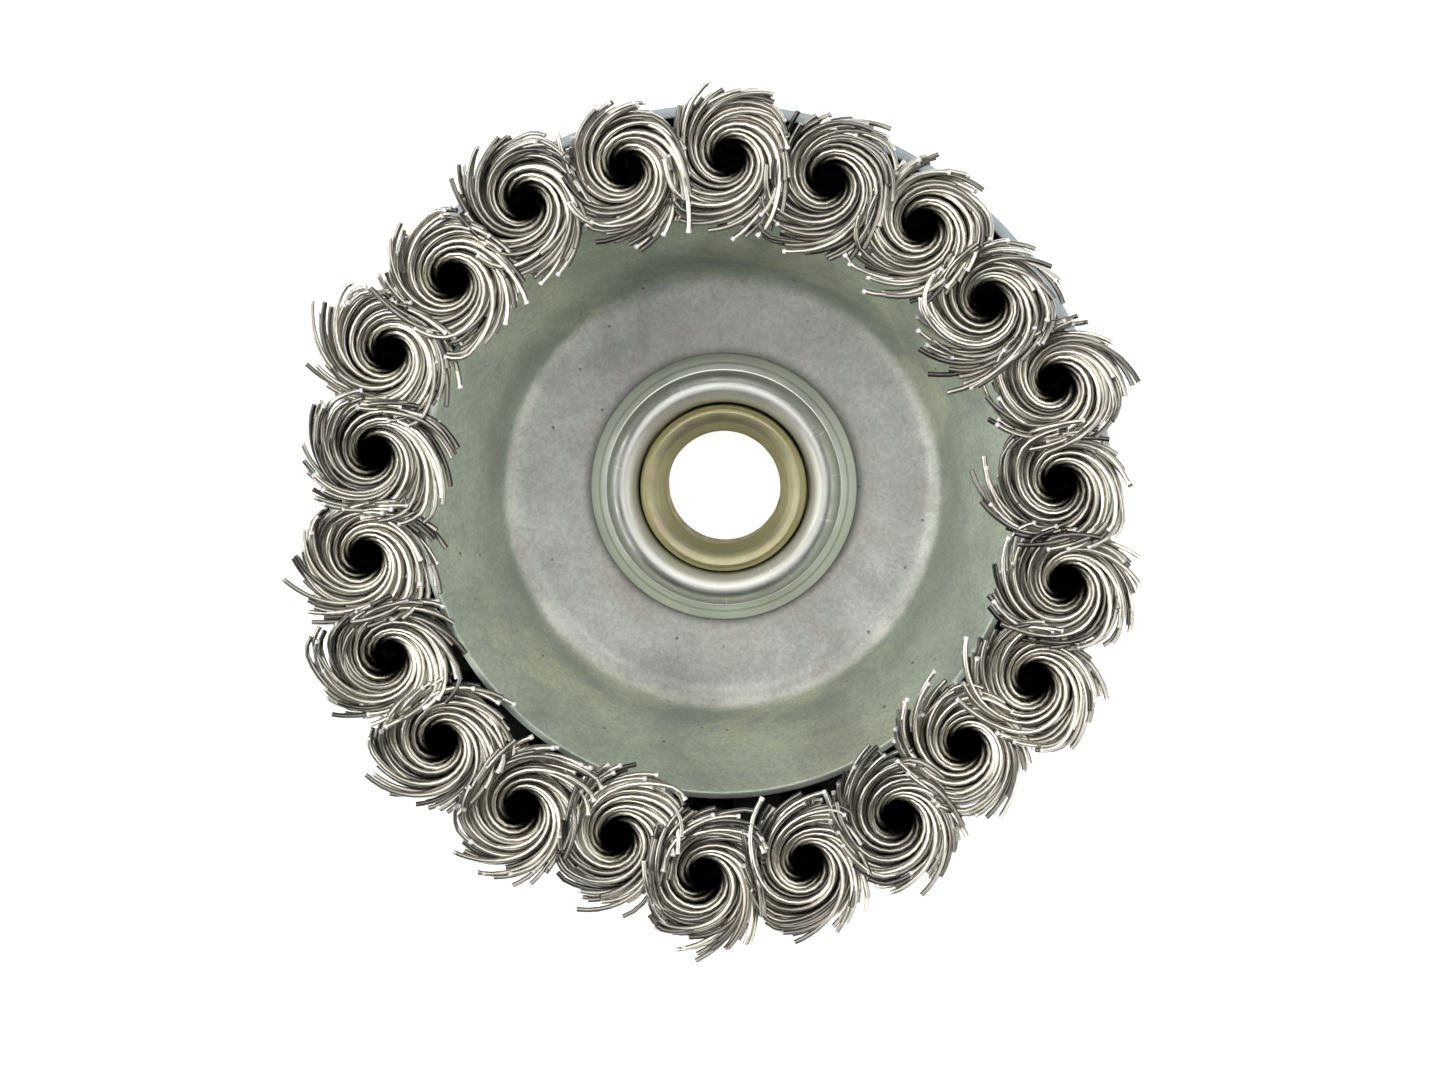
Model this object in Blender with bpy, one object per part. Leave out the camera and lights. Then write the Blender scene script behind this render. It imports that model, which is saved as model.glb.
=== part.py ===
"""Wire cup brush with one row of twisted knots, standing on its nut.

The frame: +Z runs from the nut to the bristle tips, z = 0 is the nut's end face and
the Z axis is the spindle's axis. Lengths are in metres.
"""

import math

import bmesh
import bpy
from mathutils import Vector

MM = 0.001

# Clearance between pieces that touch on the real brush
GAP = 0.3 * MM

# Nut: a hexagon behind the cup and a round shank through the stack. The bore is the
# thread's minor radius, and a plain recess at the hexagon's end clears the spindle's neck
NUT_ACROSS_FLATS = 22.2 * MM
NUT_HEX_HEIGHT = 11.0 * MM
NUT_CHAMFER = 1.1 * MM
SHANK_RADIUS = 10.0 * MM
SHANK_PROUD = 0.5 * MM
SHANK_LIP_RADIUS = 0.85 * MM
BORE_RADIUS = 6.8 * MM
BORE_CHAMFER = 1.15 * MM
RECESS_RADIUS = 8.5 * MM
RECESS_DEPTH = 10.0 * MM

# Outer shell: a pressed cup whose skirt opens slightly towards the rim
SHELL_RADIUS = 46.3 * MM
SHELL_WALL = 1.3 * MM
SHELL_CORNER_RADIUS = 5.0 * MM
SHELL_DEPTH = 24.7 * MM
SHELL_SKIRT_FLARE = 0.2 * MM

# Knot plate: a stepped disc whose raised flange carries the wire loops
PLATE_THICKNESS = 2.0 * MM
PLATE_LIGAMENT = 2.0 * MM
PLATE_FOLD_RADIUS = 2.4 * MM

# Inner dish: a flat floor, a rounded corner and a wall that flares to its rim
DISH_WALL = 1.1 * MM
DISH_FLOOR_RADIUS = 24.0 * MM
DISH_CORNER_RADIUS = 3.0 * MM
DISH_DEPTH = 18.0 * MM
DISH_RIM_CLEARANCE = 0.85 * MM

# Clamp ring: a round bead with a bevelled foot
RING_FOOT_RADIUS = 16.05 * MM
RING_FOOT_EDGE = 0.8 * MM
RING_SHELF_HEIGHT = 1.9 * MM
RING_SHELF_WIDTH = 0.6 * MM
RING_BEAD_RADIUS = 1.7 * MM

# Knots: wire bundles looped through the plate, twisted into ropes, open at the tips
KNOT_COUNT = 22
FIRST_KNOT_ANGLE = math.radians(88.2)
TRIM_LENGTH = 30.0 * MM
LEG_RADIUS = 1.7 * MM
LEG_WALL_CLEARANCE = 0.7 * MM
LEG_SEAT_DEPTH = 0.2 * MM
ROOT_MARGIN = 0.25 * MM
ROPE_RADIUS = 3.1 * MM
ROPE_LAY = 64.0 * MM
ROPE_LOBES = 7
LOBE_DEPTH = 0.25 * MM
KNOT_SPLAY = 1.2 * MM
FLARE_HEIGHT = 12.0 * MM
FLARE_RADIUS = 7.7 * MM
FLARE_SHIFT = 0.5 * MM
FLARE_TURN = math.radians(80)
LIP_HEIGHT = 1.0 * MM
LIP_WIDTH = 1.4 * MM
PETAL_DEPTH = 0.8 * MM
THROAT_RADIUS = 1.6 * MM
THROAT_DEPTH = 8.0 * MM
THROAT_TURN = math.radians(105)

# How the flare opens and the lean grows with height, as powers, and how round the
# oblong root is; 1 is an ellipse and less is squarer
FLARE_CURVE = 2.2
LEAN_CURVE = 1.3
ROOT_ROUNDNESS = 0.6

# How far each knot's tips lean from the regular circle, in millimetres, as the photo
# shows them: outwards, then counter-clockwise seen from the tips. The list starts at
# the first knot and goes counter-clockwise.
KNOT_LEANS = (
    (0.2, -0.4), (0.1, -0.2), (1.3, 0.4), (-0.6, 0.9), (1.2, 0.1), (-1.4, 0.0),
    (-0.4, 0.8), (0.3, 1.1), (0.4, 0.8), (-0.2, 1.3), (-2.3, 1.3), (1.5, 0.3),
    (1.2, 0.3), (0.2, 0.2), (-1.9, 0.0), (0.9, -1.0), (0.5, -0.9), (-1.2, -1.1),
    (1.5, -1.3), (-1.4, -0.9), (-0.1, -1.0), (-0.4, -0.6),
)

# Facets round the pieces; two for each knot keeps the plate's holes inside a facet
SMALL_FACETS = 30
LARGE_FACETS = 2 * KNOT_COUNT
HOLE_FACETS = 8
LEG_FACETS = 6
LEG_BEND_STEPS = 4
ROPE_BANDS = 4
DISH_WALL_STEPS = 3
ARC_STEP = math.radians(30)

# Where the rings of a knot lie: shares of the way up the flare and into its mouth
FLARE_STATIONS = (0.45, 0.8, 1.0)
MOUTH_STATIONS = (0.0, 0.4, 0.75, 1.0)

# Heights of the stack on the nut's shoulder, from the shell's floor up
SHELL_FLOOR = NUT_HEX_HEIGHT + GAP + SHELL_WALL
SHELL_RIM = NUT_HEX_HEIGHT + GAP + SHELL_DEPTH
PLATE_TOP = SHELL_FLOOR + GAP + PLATE_THICKNESS
DISH_FLOOR = PLATE_TOP + GAP + DISH_WALL
DISH_RIM = DISH_FLOOR + DISH_DEPTH
RING_BASE = DISH_FLOOR + GAP
RING_TOP = RING_BASE + RING_SHELF_HEIGHT + RING_BEAD_RADIUS
NUT_TOP = RING_TOP + SHANK_PROUD

# The legs of a wire loop: one just inside the shell's wall, one through the plate
HUB_RADIUS = SHANK_RADIUS + GAP
SHELL_INNER_RADIUS = SHELL_RADIUS - SHELL_WALL - SHELL_SKIRT_FLARE
OUTER_LEG_RADIUS = SHELL_INNER_RADIUS - LEG_WALL_CLEARANCE - LEG_RADIUS
PLATE_RADIUS = OUTER_LEG_RADIUS - LEG_RADIUS - GAP
HOLE_RADIUS = LEG_RADIUS + GAP
HOLE_CIRCLE_RADIUS = PLATE_RADIUS - PLATE_LIGAMENT - HOLE_RADIUS
LOOP_BEND_RADIUS = (OUTER_LEG_RADIUS - HOLE_CIRCLE_RADIUS) / 2
KNOT_CIRCLE_RADIUS = (OUTER_LEG_RADIUS + HOLE_CIRCLE_RADIUS) / 2
LOOP_BEND_HEIGHT = SHELL_FLOOR + GAP + LEG_RADIUS + LOOP_BEND_RADIUS

# The plate's flange lies in the loops; the knots start just above it
FLANGE_TOP = LOOP_BEND_HEIGHT + GAP + PLATE_THICKNESS
KNOT_ROOT = FLANGE_TOP + GAP
KNOT_TIP = SHELL_RIM + TRIM_LENGTH
KNOT_HEIGHT = KNOT_TIP - KNOT_ROOT
DISH_RIM_RADIUS = KNOT_CIRCLE_RADIUS - ROPE_RADIUS - LOBE_DEPTH - DISH_RIM_CLEARANCE


# Outlines in (radius, height)


def arc(centre, radius, start, end):
    """Points on an arc from one angle to another, both ends included."""
    steps = max(2, round(abs(end - start) / ARC_STEP))
    points = []
    for step in range(steps + 1):
        angle = start + (end - start) * step / steps
        x = centre[0] + radius * math.cos(angle)
        z = centre[1] + radius * math.sin(angle)
        points.append((x, z))
    return points


def sheet(path, thickness):
    """Close a path into a strip of even thickness on its right-hand side."""
    normals = []
    for (x0, z0), (x1, z1) in zip(path, path[1:]):
        length = math.hypot(x1 - x0, z1 - z0)
        normals.append(Vector(((z1 - z0) / length, (x0 - x1) / length)))
    far_side = []
    for index, point in enumerate(path):
        before = normals[max(index - 1, 0)]
        after = normals[min(index, len(normals) - 1)]
        offset = (before + after) * (thickness / (1 + before.dot(after)))
        far_side.append((point[0] + offset.x, point[1] + offset.y))
    return list(path) + far_side[::-1]


# Building blocks


def metal(name, colour, roughness):
    """A plain metal material."""
    material = bpy.data.materials.new(name)
    material.use_nodes = True
    shader = material.node_tree.nodes["Principled BSDF"]
    shader.inputs["Base Color"].default_value = (*colour, 1.0)
    shader.inputs["Metallic"].default_value = 1.0
    shader.inputs["Roughness"].default_value = roughness
    material.diffuse_color = (*colour, 1.0)
    return material


def add_object(name, bm, parent, material=None, sharp_angle=30):
    """Turn a bmesh into an object, shaded smooth except at its sharp edges."""
    bmesh.ops.recalc_face_normals(bm, faces=bm.faces)
    mesh = bpy.data.meshes.new(name)
    bm.to_mesh(mesh)
    bm.free()
    mesh.shade_smooth()
    mesh.set_sharp_from_angle(angle=math.radians(sharp_angle))
    if material:
        mesh.materials.append(material)
    obj = bpy.data.objects.new(name, mesh)
    obj.parent = parent
    bpy.context.scene.collection.objects.link(obj)
    return obj


def add_cutter(name, bm, parent):
    """A hidden solid that a Boolean modifier uses."""
    obj = add_object(name, bm, parent)
    obj.hide_render = True
    obj.display_type = "WIRE"
    return obj


def boolean(obj, cutter, operation):
    """Combine an object with a hidden solid."""
    modifier = obj.modifiers.new(operation.lower(), "BOOLEAN")
    modifier.operation = operation
    modifier.solver = "EXACT"
    modifier.object = cutter


def turned(outline, facets, first_angle=0.0):
    """A bmesh of a closed outline spun round the Z axis."""
    bm = bmesh.new()
    across = Vector((math.cos(first_angle), math.sin(first_angle), 0.0))
    verts = [bm.verts.new(across * x + Vector((0.0, 0.0, z))) for x, z in outline]
    edges = [bm.edges.new(pair) for pair in zip(verts, verts[1:] + verts[:1])]
    bmesh.ops.spin(
        bm,
        geom=verts + edges,
        cent=(0.0, 0.0, 0.0),
        axis=(0.0, 0.0, 1.0),
        angle=2 * math.pi,
        steps=facets,
        use_merge=True,
    )
    return bm


def loft(rings):
    """A bmesh that joins rings of equal length, with a flat cap at each end."""
    bm = bmesh.new()
    rows = [[bm.verts.new(point) for point in ring] for ring in rings]
    for low, high in zip(rows, rows[1:]):
        for index, vert in enumerate(low):
            after = (index + 1) % len(low)
            bm.faces.new((vert, low[after], high[after], high[index]))
    bm.faces.new(rows[0][::-1])
    bm.faces.new(rows[-1])
    return bm


# The turned and pressed pieces


def make_nut(parent):
    """The nut: a turned blank cut to a hexagon below its shoulder."""
    corner_radius = NUT_ACROSS_FLATS / math.sqrt(3)
    chamfer_reach = NUT_CHAMFER * math.sqrt(3)
    lip_top = NUT_TOP - SHANK_LIP_RADIUS
    lip_centre = (SHANK_RADIUS - SHANK_LIP_RADIUS, lip_top)
    outline = [
        (RECESS_RADIUS, 0.0),
        (corner_radius - chamfer_reach, 0.0),
        (corner_radius, NUT_CHAMFER),
        (corner_radius, NUT_HEX_HEIGHT - NUT_CHAMFER),
        (corner_radius - chamfer_reach, NUT_HEX_HEIGHT),
        (SHANK_RADIUS, NUT_HEX_HEIGHT),
    ]
    outline += arc(lip_centre, SHANK_LIP_RADIUS, 0.0, math.pi / 2)
    outline += [
        (BORE_RADIUS + BORE_CHAMFER, NUT_TOP),
        (BORE_RADIUS, NUT_TOP - BORE_CHAMFER),
        (BORE_RADIUS, RECESS_DEPTH + BORE_CHAMFER),
        (BORE_RADIUS + BORE_CHAMFER, RECESS_DEPTH),
        (RECESS_RADIUS, RECESS_DEPTH),
    ]
    plating = metal("yellow_zinc", (0.72, 0.53, 0.16), 0.35)
    nut = add_object("nut", turned(outline, SMALL_FACETS), parent, plating)
    hexagon = bmesh.new()
    bmesh.ops.create_cone(
        hexagon,
        cap_ends=True,
        segments=6,
        radius1=corner_radius,
        radius2=corner_radius,
        depth=3 * NUT_TOP,
    )
    boolean(nut, add_cutter("nut_hexagon", hexagon, parent), "INTERSECT")


def make_outer_shell(parent):
    """The outer cup: floor, rounded corner and a skirt round the knots."""
    corner = SHELL_CORNER_RADIUS - SHELL_WALL
    corner_centre = (SHELL_INNER_RADIUS - corner, SHELL_FLOOR + corner)
    path = [(HUB_RADIUS, SHELL_FLOOR)]
    path += arc(corner_centre, corner, -math.pi / 2, 0.0)
    path.append((SHELL_INNER_RADIUS + SHELL_SKIRT_FLARE, SHELL_RIM))
    plating = metal("blue_zinc", (0.56, 0.60, 0.64), 0.38)
    add_object("outer_shell", turned(sheet(path, SHELL_WALL), LARGE_FACETS), parent, plating)


def plate_fold():
    """Centre, lower radius and angle of the plate's step, which the dish's corner fits."""
    lower_radius = DISH_CORNER_RADIUS + DISH_WALL + GAP
    centre = (DISH_FLOOR_RADIUS, PLATE_TOP + lower_radius)
    rise = FLANGE_TOP - PLATE_TOP
    angle = math.acos(1 - rise / (lower_radius + PLATE_FOLD_RADIUS))
    return centre, lower_radius, angle


def make_knot_plate(parent):
    """The stepped plate, with a hole in its flange for each wire loop."""
    centre, lower_radius, fold = plate_fold()
    reach = (lower_radius + PLATE_FOLD_RADIUS) * math.sin(fold)
    upper_centre = (centre[0] + reach, FLANGE_TOP - PLATE_FOLD_RADIUS)
    path = [(HUB_RADIUS, PLATE_TOP)]
    path += arc(centre, lower_radius, -math.pi / 2, fold - math.pi / 2)[:-1]
    path += arc(upper_centre, PLATE_FOLD_RADIUS, fold + math.pi / 2, math.pi / 2)
    path.append((PLATE_RADIUS, FLANGE_TOP))
    half_facet = math.pi / LARGE_FACETS
    blank = turned(sheet(path, PLATE_THICKNESS), LARGE_FACETS, FIRST_KNOT_ANGLE + half_facet)
    steel = metal("plate_steel", (0.45, 0.46, 0.47), 0.45)
    plate = add_object("knot_plate", blank, parent, steel)
    holes = bmesh.new()
    drill_radius = HOLE_RADIUS / math.cos(math.pi / HOLE_FACETS)
    for index in range(KNOT_COUNT):
        made = bmesh.ops.create_cone(
            holes,
            cap_ends=True,
            segments=HOLE_FACETS,
            radius1=drill_radius,
            radius2=drill_radius,
            depth=3 * PLATE_THICKNESS,
        )
        angle = knot_angle(index)
        place = Vector((math.cos(angle), math.sin(angle), 0.0)) * HOLE_CIRCLE_RADIUS
        place.z = FLANGE_TOP - PLATE_THICKNESS / 2
        bmesh.ops.translate(holes, verts=made["verts"], vec=place)
    boolean(plate, add_cutter("knot_plate_holes", holes, parent), "DIFFERENCE")


def make_inner_dish(parent):
    """The dish: its wall leaves the rounded corner steeply and flares to the rim."""
    centre, _, fold = plate_fold()
    corner = arc(centre, DISH_CORNER_RADIUS, -math.pi / 2, fold - math.pi / 2)
    foot = Vector(corner[-1])
    rim = Vector((DISH_RIM_RADIUS, DISH_RIM))
    chord = rim - foot
    sweep = 2 * (fold - math.atan2(chord.y, chord.x))
    wall_radius = chord.length / (2 * math.sin(sweep / 2))
    normal = Vector((math.sin(fold), -math.cos(fold)))
    wall_centre = foot + normal * wall_radius
    start = fold + math.pi / 2
    path = [(HUB_RADIUS, DISH_FLOOR)] + corner
    for step in range(1, DISH_WALL_STEPS + 1):
        angle = start - sweep * step / DISH_WALL_STEPS
        x = wall_centre.x + wall_radius * math.cos(angle)
        z = wall_centre.y + wall_radius * math.sin(angle)
        path.append((x, z))
    plating = metal("dull_zinc", (0.60, 0.61, 0.56), 0.42)
    add_object("inner_dish", turned(sheet(path, DISH_WALL), LARGE_FACETS), parent, plating)


def make_clamp_ring(parent):
    """The ring that grips the dish: a round bead inside a bevelled foot."""
    bead_centre = (HUB_RADIUS + RING_BEAD_RADIUS, RING_BASE + RING_SHELF_HEIGHT)
    bead_edge = HUB_RADIUS + 2 * RING_BEAD_RADIUS
    outline = [
        (HUB_RADIUS, RING_BASE),
        (RING_FOOT_RADIUS, RING_BASE),
        (RING_FOOT_RADIUS, RING_BASE + RING_FOOT_EDGE),
        (bead_edge + RING_SHELF_WIDTH, bead_centre[1]),
    ]
    outline += arc(bead_centre, RING_BEAD_RADIUS, 0.0, math.pi)
    plating = metal("bright_zinc", (0.78, 0.78, 0.74), 0.28)
    add_object("clamp_ring", turned(outline, SMALL_FACETS), parent, plating)


# The knots


def knot_angle(index):
    """Where a knot stands round the brush."""
    return FIRST_KNOT_ANGLE + 2 * math.pi * index / KNOT_COUNT


def knot_axis(index, height):
    """The centre of a knot, in plan, at a height above its root."""
    angle = knot_angle(index)
    outwards = Vector((math.cos(angle), math.sin(angle)))
    sideways = Vector((-outwards.y, outwards.x))
    free = max(0.0, KNOT_ROOT + height - SHELL_RIM) / TRIM_LENGTH
    lean = Vector(KNOT_LEANS[index % len(KNOT_LEANS)]) * MM * free ** LEAN_CURVE
    radius = KNOT_CIRCLE_RADIUS + KNOT_SPLAY * height / KNOT_HEIGHT
    return outwards * (radius + lean.x) + sideways * lean.y


def knot_sections():
    """The rings of a knot above its root, in order.

    Each is its height above the root, its radius, how far its lobes stand out and up,
    its turn, and its shift outwards from the knot's centre.
    """
    sections = []
    rope_height = KNOT_HEIGHT - FLARE_HEIGHT
    for band in range(1, ROPE_BANDS + 1):
        height = rope_height * band / ROPE_BANDS
        turn = -2 * math.pi * height / ROPE_LAY
        sections.append((height, ROPE_RADIUS, LOBE_DEPTH, 0.0, turn, 0.0))
    rope_turn = sections[-1][4]
    for share in FLARE_STATIONS:
        height = rope_height + (FLARE_HEIGHT - LIP_HEIGHT) * share
        spread = share ** FLARE_CURVE
        radius = ROPE_RADIUS + (FLARE_RADIUS - ROPE_RADIUS) * spread
        depth = LOBE_DEPTH + (PETAL_DEPTH - LOBE_DEPTH) * share
        turn = rope_turn - FLARE_TURN * share
        sections.append((height, radius, depth, 0.0, turn, FLARE_SHIFT * spread))
    lip_turn = sections[-1][4]
    lip_radius = FLARE_RADIUS - LIP_WIDTH
    for share in MOUTH_STATIONS:
        height = KNOT_HEIGHT - PETAL_DEPTH - THROAT_DEPTH * share ** FLARE_CURVE
        radius = lip_radius + (THROAT_RADIUS - lip_radius) * share
        wind = math.log(lip_radius / radius) / math.log(lip_radius / THROAT_RADIUS)
        depth = PETAL_DEPTH * radius / lip_radius
        turn = lip_turn + THROAT_TURN * wind
        sections.append((height, radius, 0.0, depth, turn, FLARE_SHIFT * (1 - share)))
    return sections


def root_ring(points):
    """The rounded oblong where the two legs of the loop join the rope."""
    half_length = LOOP_BEND_RADIUS + LEG_RADIUS + ROOT_MARGIN
    half_width = LEG_RADIUS + ROOT_MARGIN
    ring = []
    for point in range(points):
        angle = 2 * math.pi * point / points
        along = math.cos(angle)
        across = math.sin(angle)
        x = half_length * math.copysign(abs(along) ** ROOT_ROUNDNESS, along)
        y = half_width * math.copysign(abs(across) ** ROOT_ROUNDNESS, across)
        ring.append(Vector((x, y, 0.0)))
    return ring


def keep_from_neighbours(point, index, height):
    """Push a point in plan back to its own knot's side of the planes midway between knots."""
    here = knot_axis(index, height)
    for neighbour in (index - 1, index + 1):
        there = knot_axis(neighbour % KNOT_COUNT, height)
        towards = (there - here).normalized()
        limit = (there - here).length / 2 - GAP / 2
        beyond = (point - here).dot(towards) - limit
        if beyond > 0:
            point = point - towards * beyond
    return point


def loop_tube():
    """The wire loop's two legs and bend, a U-shaped tube that a knot is joined to."""
    top = LEG_SEAT_DEPTH
    bottom = LOOP_BEND_HEIGHT - KNOT_ROOT
    stations = [(LOOP_BEND_RADIUS, top, 0.0)]
    for step in range(LEG_BEND_STEPS + 1):
        angle = -math.pi * step / LEG_BEND_STEPS
        x = LOOP_BEND_RADIUS * math.cos(angle)
        z = bottom + LOOP_BEND_RADIUS * math.sin(angle)
        stations.append((x, z, angle))
    stations.append((-LOOP_BEND_RADIUS, top, -math.pi))
    rings = []
    for x, z, turn in stations:
        across = Vector((math.cos(turn), 0.0, math.sin(turn)))
        ring = []
        for facet in range(LEG_FACETS):
            angle = 2 * math.pi * facet / LEG_FACETS
            offset = across * math.cos(angle) + Vector((0.0, math.sin(angle), 0.0))
            ring.append(Vector((x, 0.0, z)) + offset * LEG_RADIUS)
        rings.append(ring)
    return loft(rings)


def make_knot(index, parent, wire):
    """One knot: a looped root, a twisted lobed rope and a flared mouth with a throat."""
    points = 2 * ROPE_LOBES
    angle = knot_angle(index)
    outwards = Vector((math.cos(angle), math.sin(angle)))
    root = outwards * KNOT_CIRCLE_RADIUS
    sideways = Vector((-outwards.y, outwards.x))
    rings = [root_ring(points)]
    for height, radius, lobe_out, lobe_up, turn, shift in knot_sections():
        centre = knot_axis(index, height) + outwards * shift
        ring = []
        for point in range(points):
            lobe = 1 if point % 2 else -1
            around = 2 * math.pi * point / points + turn + angle
            reach = radius + lobe * lobe_out
            place = centre + Vector((math.cos(around), math.sin(around))) * reach
            place = keep_from_neighbours(place, index, height) - root
            rise = height + lobe * lobe_up
            ring.append(Vector((place.dot(outwards), place.dot(sideways), rise)))
        rings.append(ring)
    name = f"knot_{index + 1:02d}"
    seat = bpy.data.objects.new(name + "_seat", None)
    seat.location = (root.x, root.y, KNOT_ROOT)
    seat.rotation_euler = (0.0, 0.0, angle)
    seat.parent = parent
    bpy.context.scene.collection.objects.link(seat)
    knot = add_object(name, loft(rings), seat, wire, sharp_angle=50)
    loop = add_cutter(name + "_loop", loop_tube(), seat)
    boolean(knot, loop, "UNION")


def main():
    """Clear the scene and build the brush."""
    for obj in list(bpy.data.objects):
        bpy.data.objects.remove(obj, do_unlink=True)
    wire = metal("wire_steel", (0.52, 0.51, 0.49), 0.4)
    brush = bpy.data.objects.new("brush", None)
    bpy.context.scene.collection.objects.link(brush)
    make_nut(brush)
    make_outer_shell(brush)
    make_knot_plate(brush)
    make_inner_dish(brush)
    make_clamp_ring(brush)
    for index in range(KNOT_COUNT):
        make_knot(index, brush, wire)


main()
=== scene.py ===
import math

import bmesh
import bpy
from bpy.props import FloatProperty, FloatVectorProperty, IntProperty, PointerProperty
from mathutils import Matrix, Vector


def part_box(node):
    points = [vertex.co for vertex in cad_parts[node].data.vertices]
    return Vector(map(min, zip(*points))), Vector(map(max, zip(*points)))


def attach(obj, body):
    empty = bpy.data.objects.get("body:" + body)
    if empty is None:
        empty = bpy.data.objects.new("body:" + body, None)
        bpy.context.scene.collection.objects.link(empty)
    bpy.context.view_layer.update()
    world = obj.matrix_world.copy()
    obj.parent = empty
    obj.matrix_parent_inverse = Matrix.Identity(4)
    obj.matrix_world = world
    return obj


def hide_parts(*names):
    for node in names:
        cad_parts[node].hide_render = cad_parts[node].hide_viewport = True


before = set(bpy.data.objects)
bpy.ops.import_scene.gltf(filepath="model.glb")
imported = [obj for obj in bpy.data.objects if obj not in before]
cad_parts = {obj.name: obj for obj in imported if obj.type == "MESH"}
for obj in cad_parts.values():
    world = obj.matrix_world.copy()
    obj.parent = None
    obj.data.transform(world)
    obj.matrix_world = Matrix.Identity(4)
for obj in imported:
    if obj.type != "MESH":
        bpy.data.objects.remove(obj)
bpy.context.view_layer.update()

bl_info = {
    "name": "Wire cup brush",
    "version": (1, 0, 0),
    "blender": (4, 5, 0),
    "location": "3D View > Sidebar > Cup Brush",
    "description": "Dresses the wire cup brush: nut, cups, clamp ring and twisted wire knots",
    "category": "Object",
}

MM = 0.001

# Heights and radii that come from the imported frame
NUT_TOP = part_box("nut")[1][2]
PLATE_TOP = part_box("knot_plate")[1][2]
SHELL_LOW, SHELL_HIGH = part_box("outer_shell")
DISH_LOW, DISH_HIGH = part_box("inner_dish")
RING_LOW, RING_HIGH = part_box("clamp_ring")

KNOT_COUNT = 22
FIRST_KNOT_ANGLE = math.radians(88.2)

# How far each knot's tips lean, in millimetres: outwards, then counter-clockwise
KNOT_LEANS = (
    (0.2, -0.4), (0.1, -0.2), (1.3, 0.4), (-0.6, 0.9), (1.2, 0.1), (-1.4, 0.0),
    (-0.4, 0.8), (0.3, 1.1), (0.4, 0.8), (-0.2, 1.3), (-2.3, 1.3), (1.5, 0.3),
    (1.2, 0.3), (0.2, 0.2), (-1.9, 0.0), (0.9, -1.0), (0.5, -0.9), (-1.2, -1.1),
    (1.5, -1.3), (-1.4, -0.9), (-0.1, -1.0), (-0.4, -0.6),
)


def length(name, description, default):
    """A size in metres that the sidebar shows in the scene's unit."""
    return FloatProperty(
        name=name, description=description, default=default, min=0.0, unit="LENGTH", precision=5
    )


def turn(name, description, degrees):
    """An angle that the sidebar shows in degrees."""
    return FloatProperty(
        name=name, description=description, default=math.radians(degrees), subtype="ANGLE"
    )


def count(name, description, default, least=1):
    """A whole number."""
    return IntProperty(name=name, description=description, default=default, min=least)


def ratio(name, description, default):
    """A plain number without a unit."""
    return FloatProperty(name=name, description=description, default=default, min=0.1)


def colour(name, description, default):
    """A colour that the sidebar shows as a swatch."""
    return FloatVectorProperty(
        name=name, description=description, default=default, size=3, min=0.0, max=1.0,
        subtype="COLOR",
    )


class CupBrushStackSizes(bpy.types.PropertyGroup):
    """Sizes of the turned and pressed pieces."""

    facets: count("Facets", "Facets round each turned piece", 192, least=24)
    across_flats: length("Across flats", "Width of the nut's hexagon", 22.2 * MM)
    hex_height: length("Hexagon height", "Height of the nut's hexagon", 11.0 * MM)
    hex_chamfer: length("Hexagon chamfer", "Chamfer of the hexagon's corners", 1.1 * MM)
    shank_radius: length("Shank radius", "Radius of the shank that clamps the stack", 10.0 * MM)
    shank_lip: length("Shank lip", "Rounding of the shank's end", 0.85 * MM)
    bore_radius: length("Bore radius", "Minor radius of the spindle thread", 6.8 * MM)
    bore_chamfer: length("Bore chamfer", "Countersink at the bore's ends", 1.15 * MM)
    collar_dip: length("Collar dip", "How far the shank's end dips to the bore", 0.45 * MM)
    thread_pitch: length("Thread pitch", "Pitch of the spindle thread", 2.309 * MM)
    thread_depth: length("Thread depth", "Depth of the thread's groove", 1.13 * MM)
    recess_radius: length("Recess radius", "Plain recess for the spindle's neck", 8.5 * MM)
    recess_depth: length("Recess depth", "Depth of the plain recess", 10.0 * MM)
    hub_radius: length("Hub radius", "Radius of the sheets' centre holes", 10.3 * MM)
    shell_wall: length("Shell wall", "Thickness of the outer cup", 1.3 * MM)
    shell_corner: length("Shell corner", "Outer radius of the cup's corner", 5.0 * MM)
    shell_flare: length("Shell flare", "How far the skirt opens to its rim", 0.2 * MM)
    dish_wall: length("Dish wall", "Thickness of the inner dish", 1.1 * MM)
    dish_floor_radius: length("Dish floor radius", "Where the floor meets the fold", 24.0 * MM)
    dish_corner: length("Dish corner", "Radius of the dish's fold", 3.0 * MM)
    dish_fold: turn("Dish fold", "How steep the wall leaves the fold", 74.65)
    dish_rim_radius: length("Dish rim radius", "Inner radius of the dish's rim", 35.2 * MM)
    ring_foot_edge: length("Ring foot edge", "Height of the clamp ring's outer edge", 0.8 * MM)
    ring_shelf_height: length("Ring shelf height", "Height of the shelf by the bead", 1.9 * MM)
    ring_shelf_width: length("Ring shelf width", "Width of the shelf by the bead", 0.14 * MM)
    ring_bead: length("Ring bead", "Half the width of the clamp ring's bead", 1.93 * MM)


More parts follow.
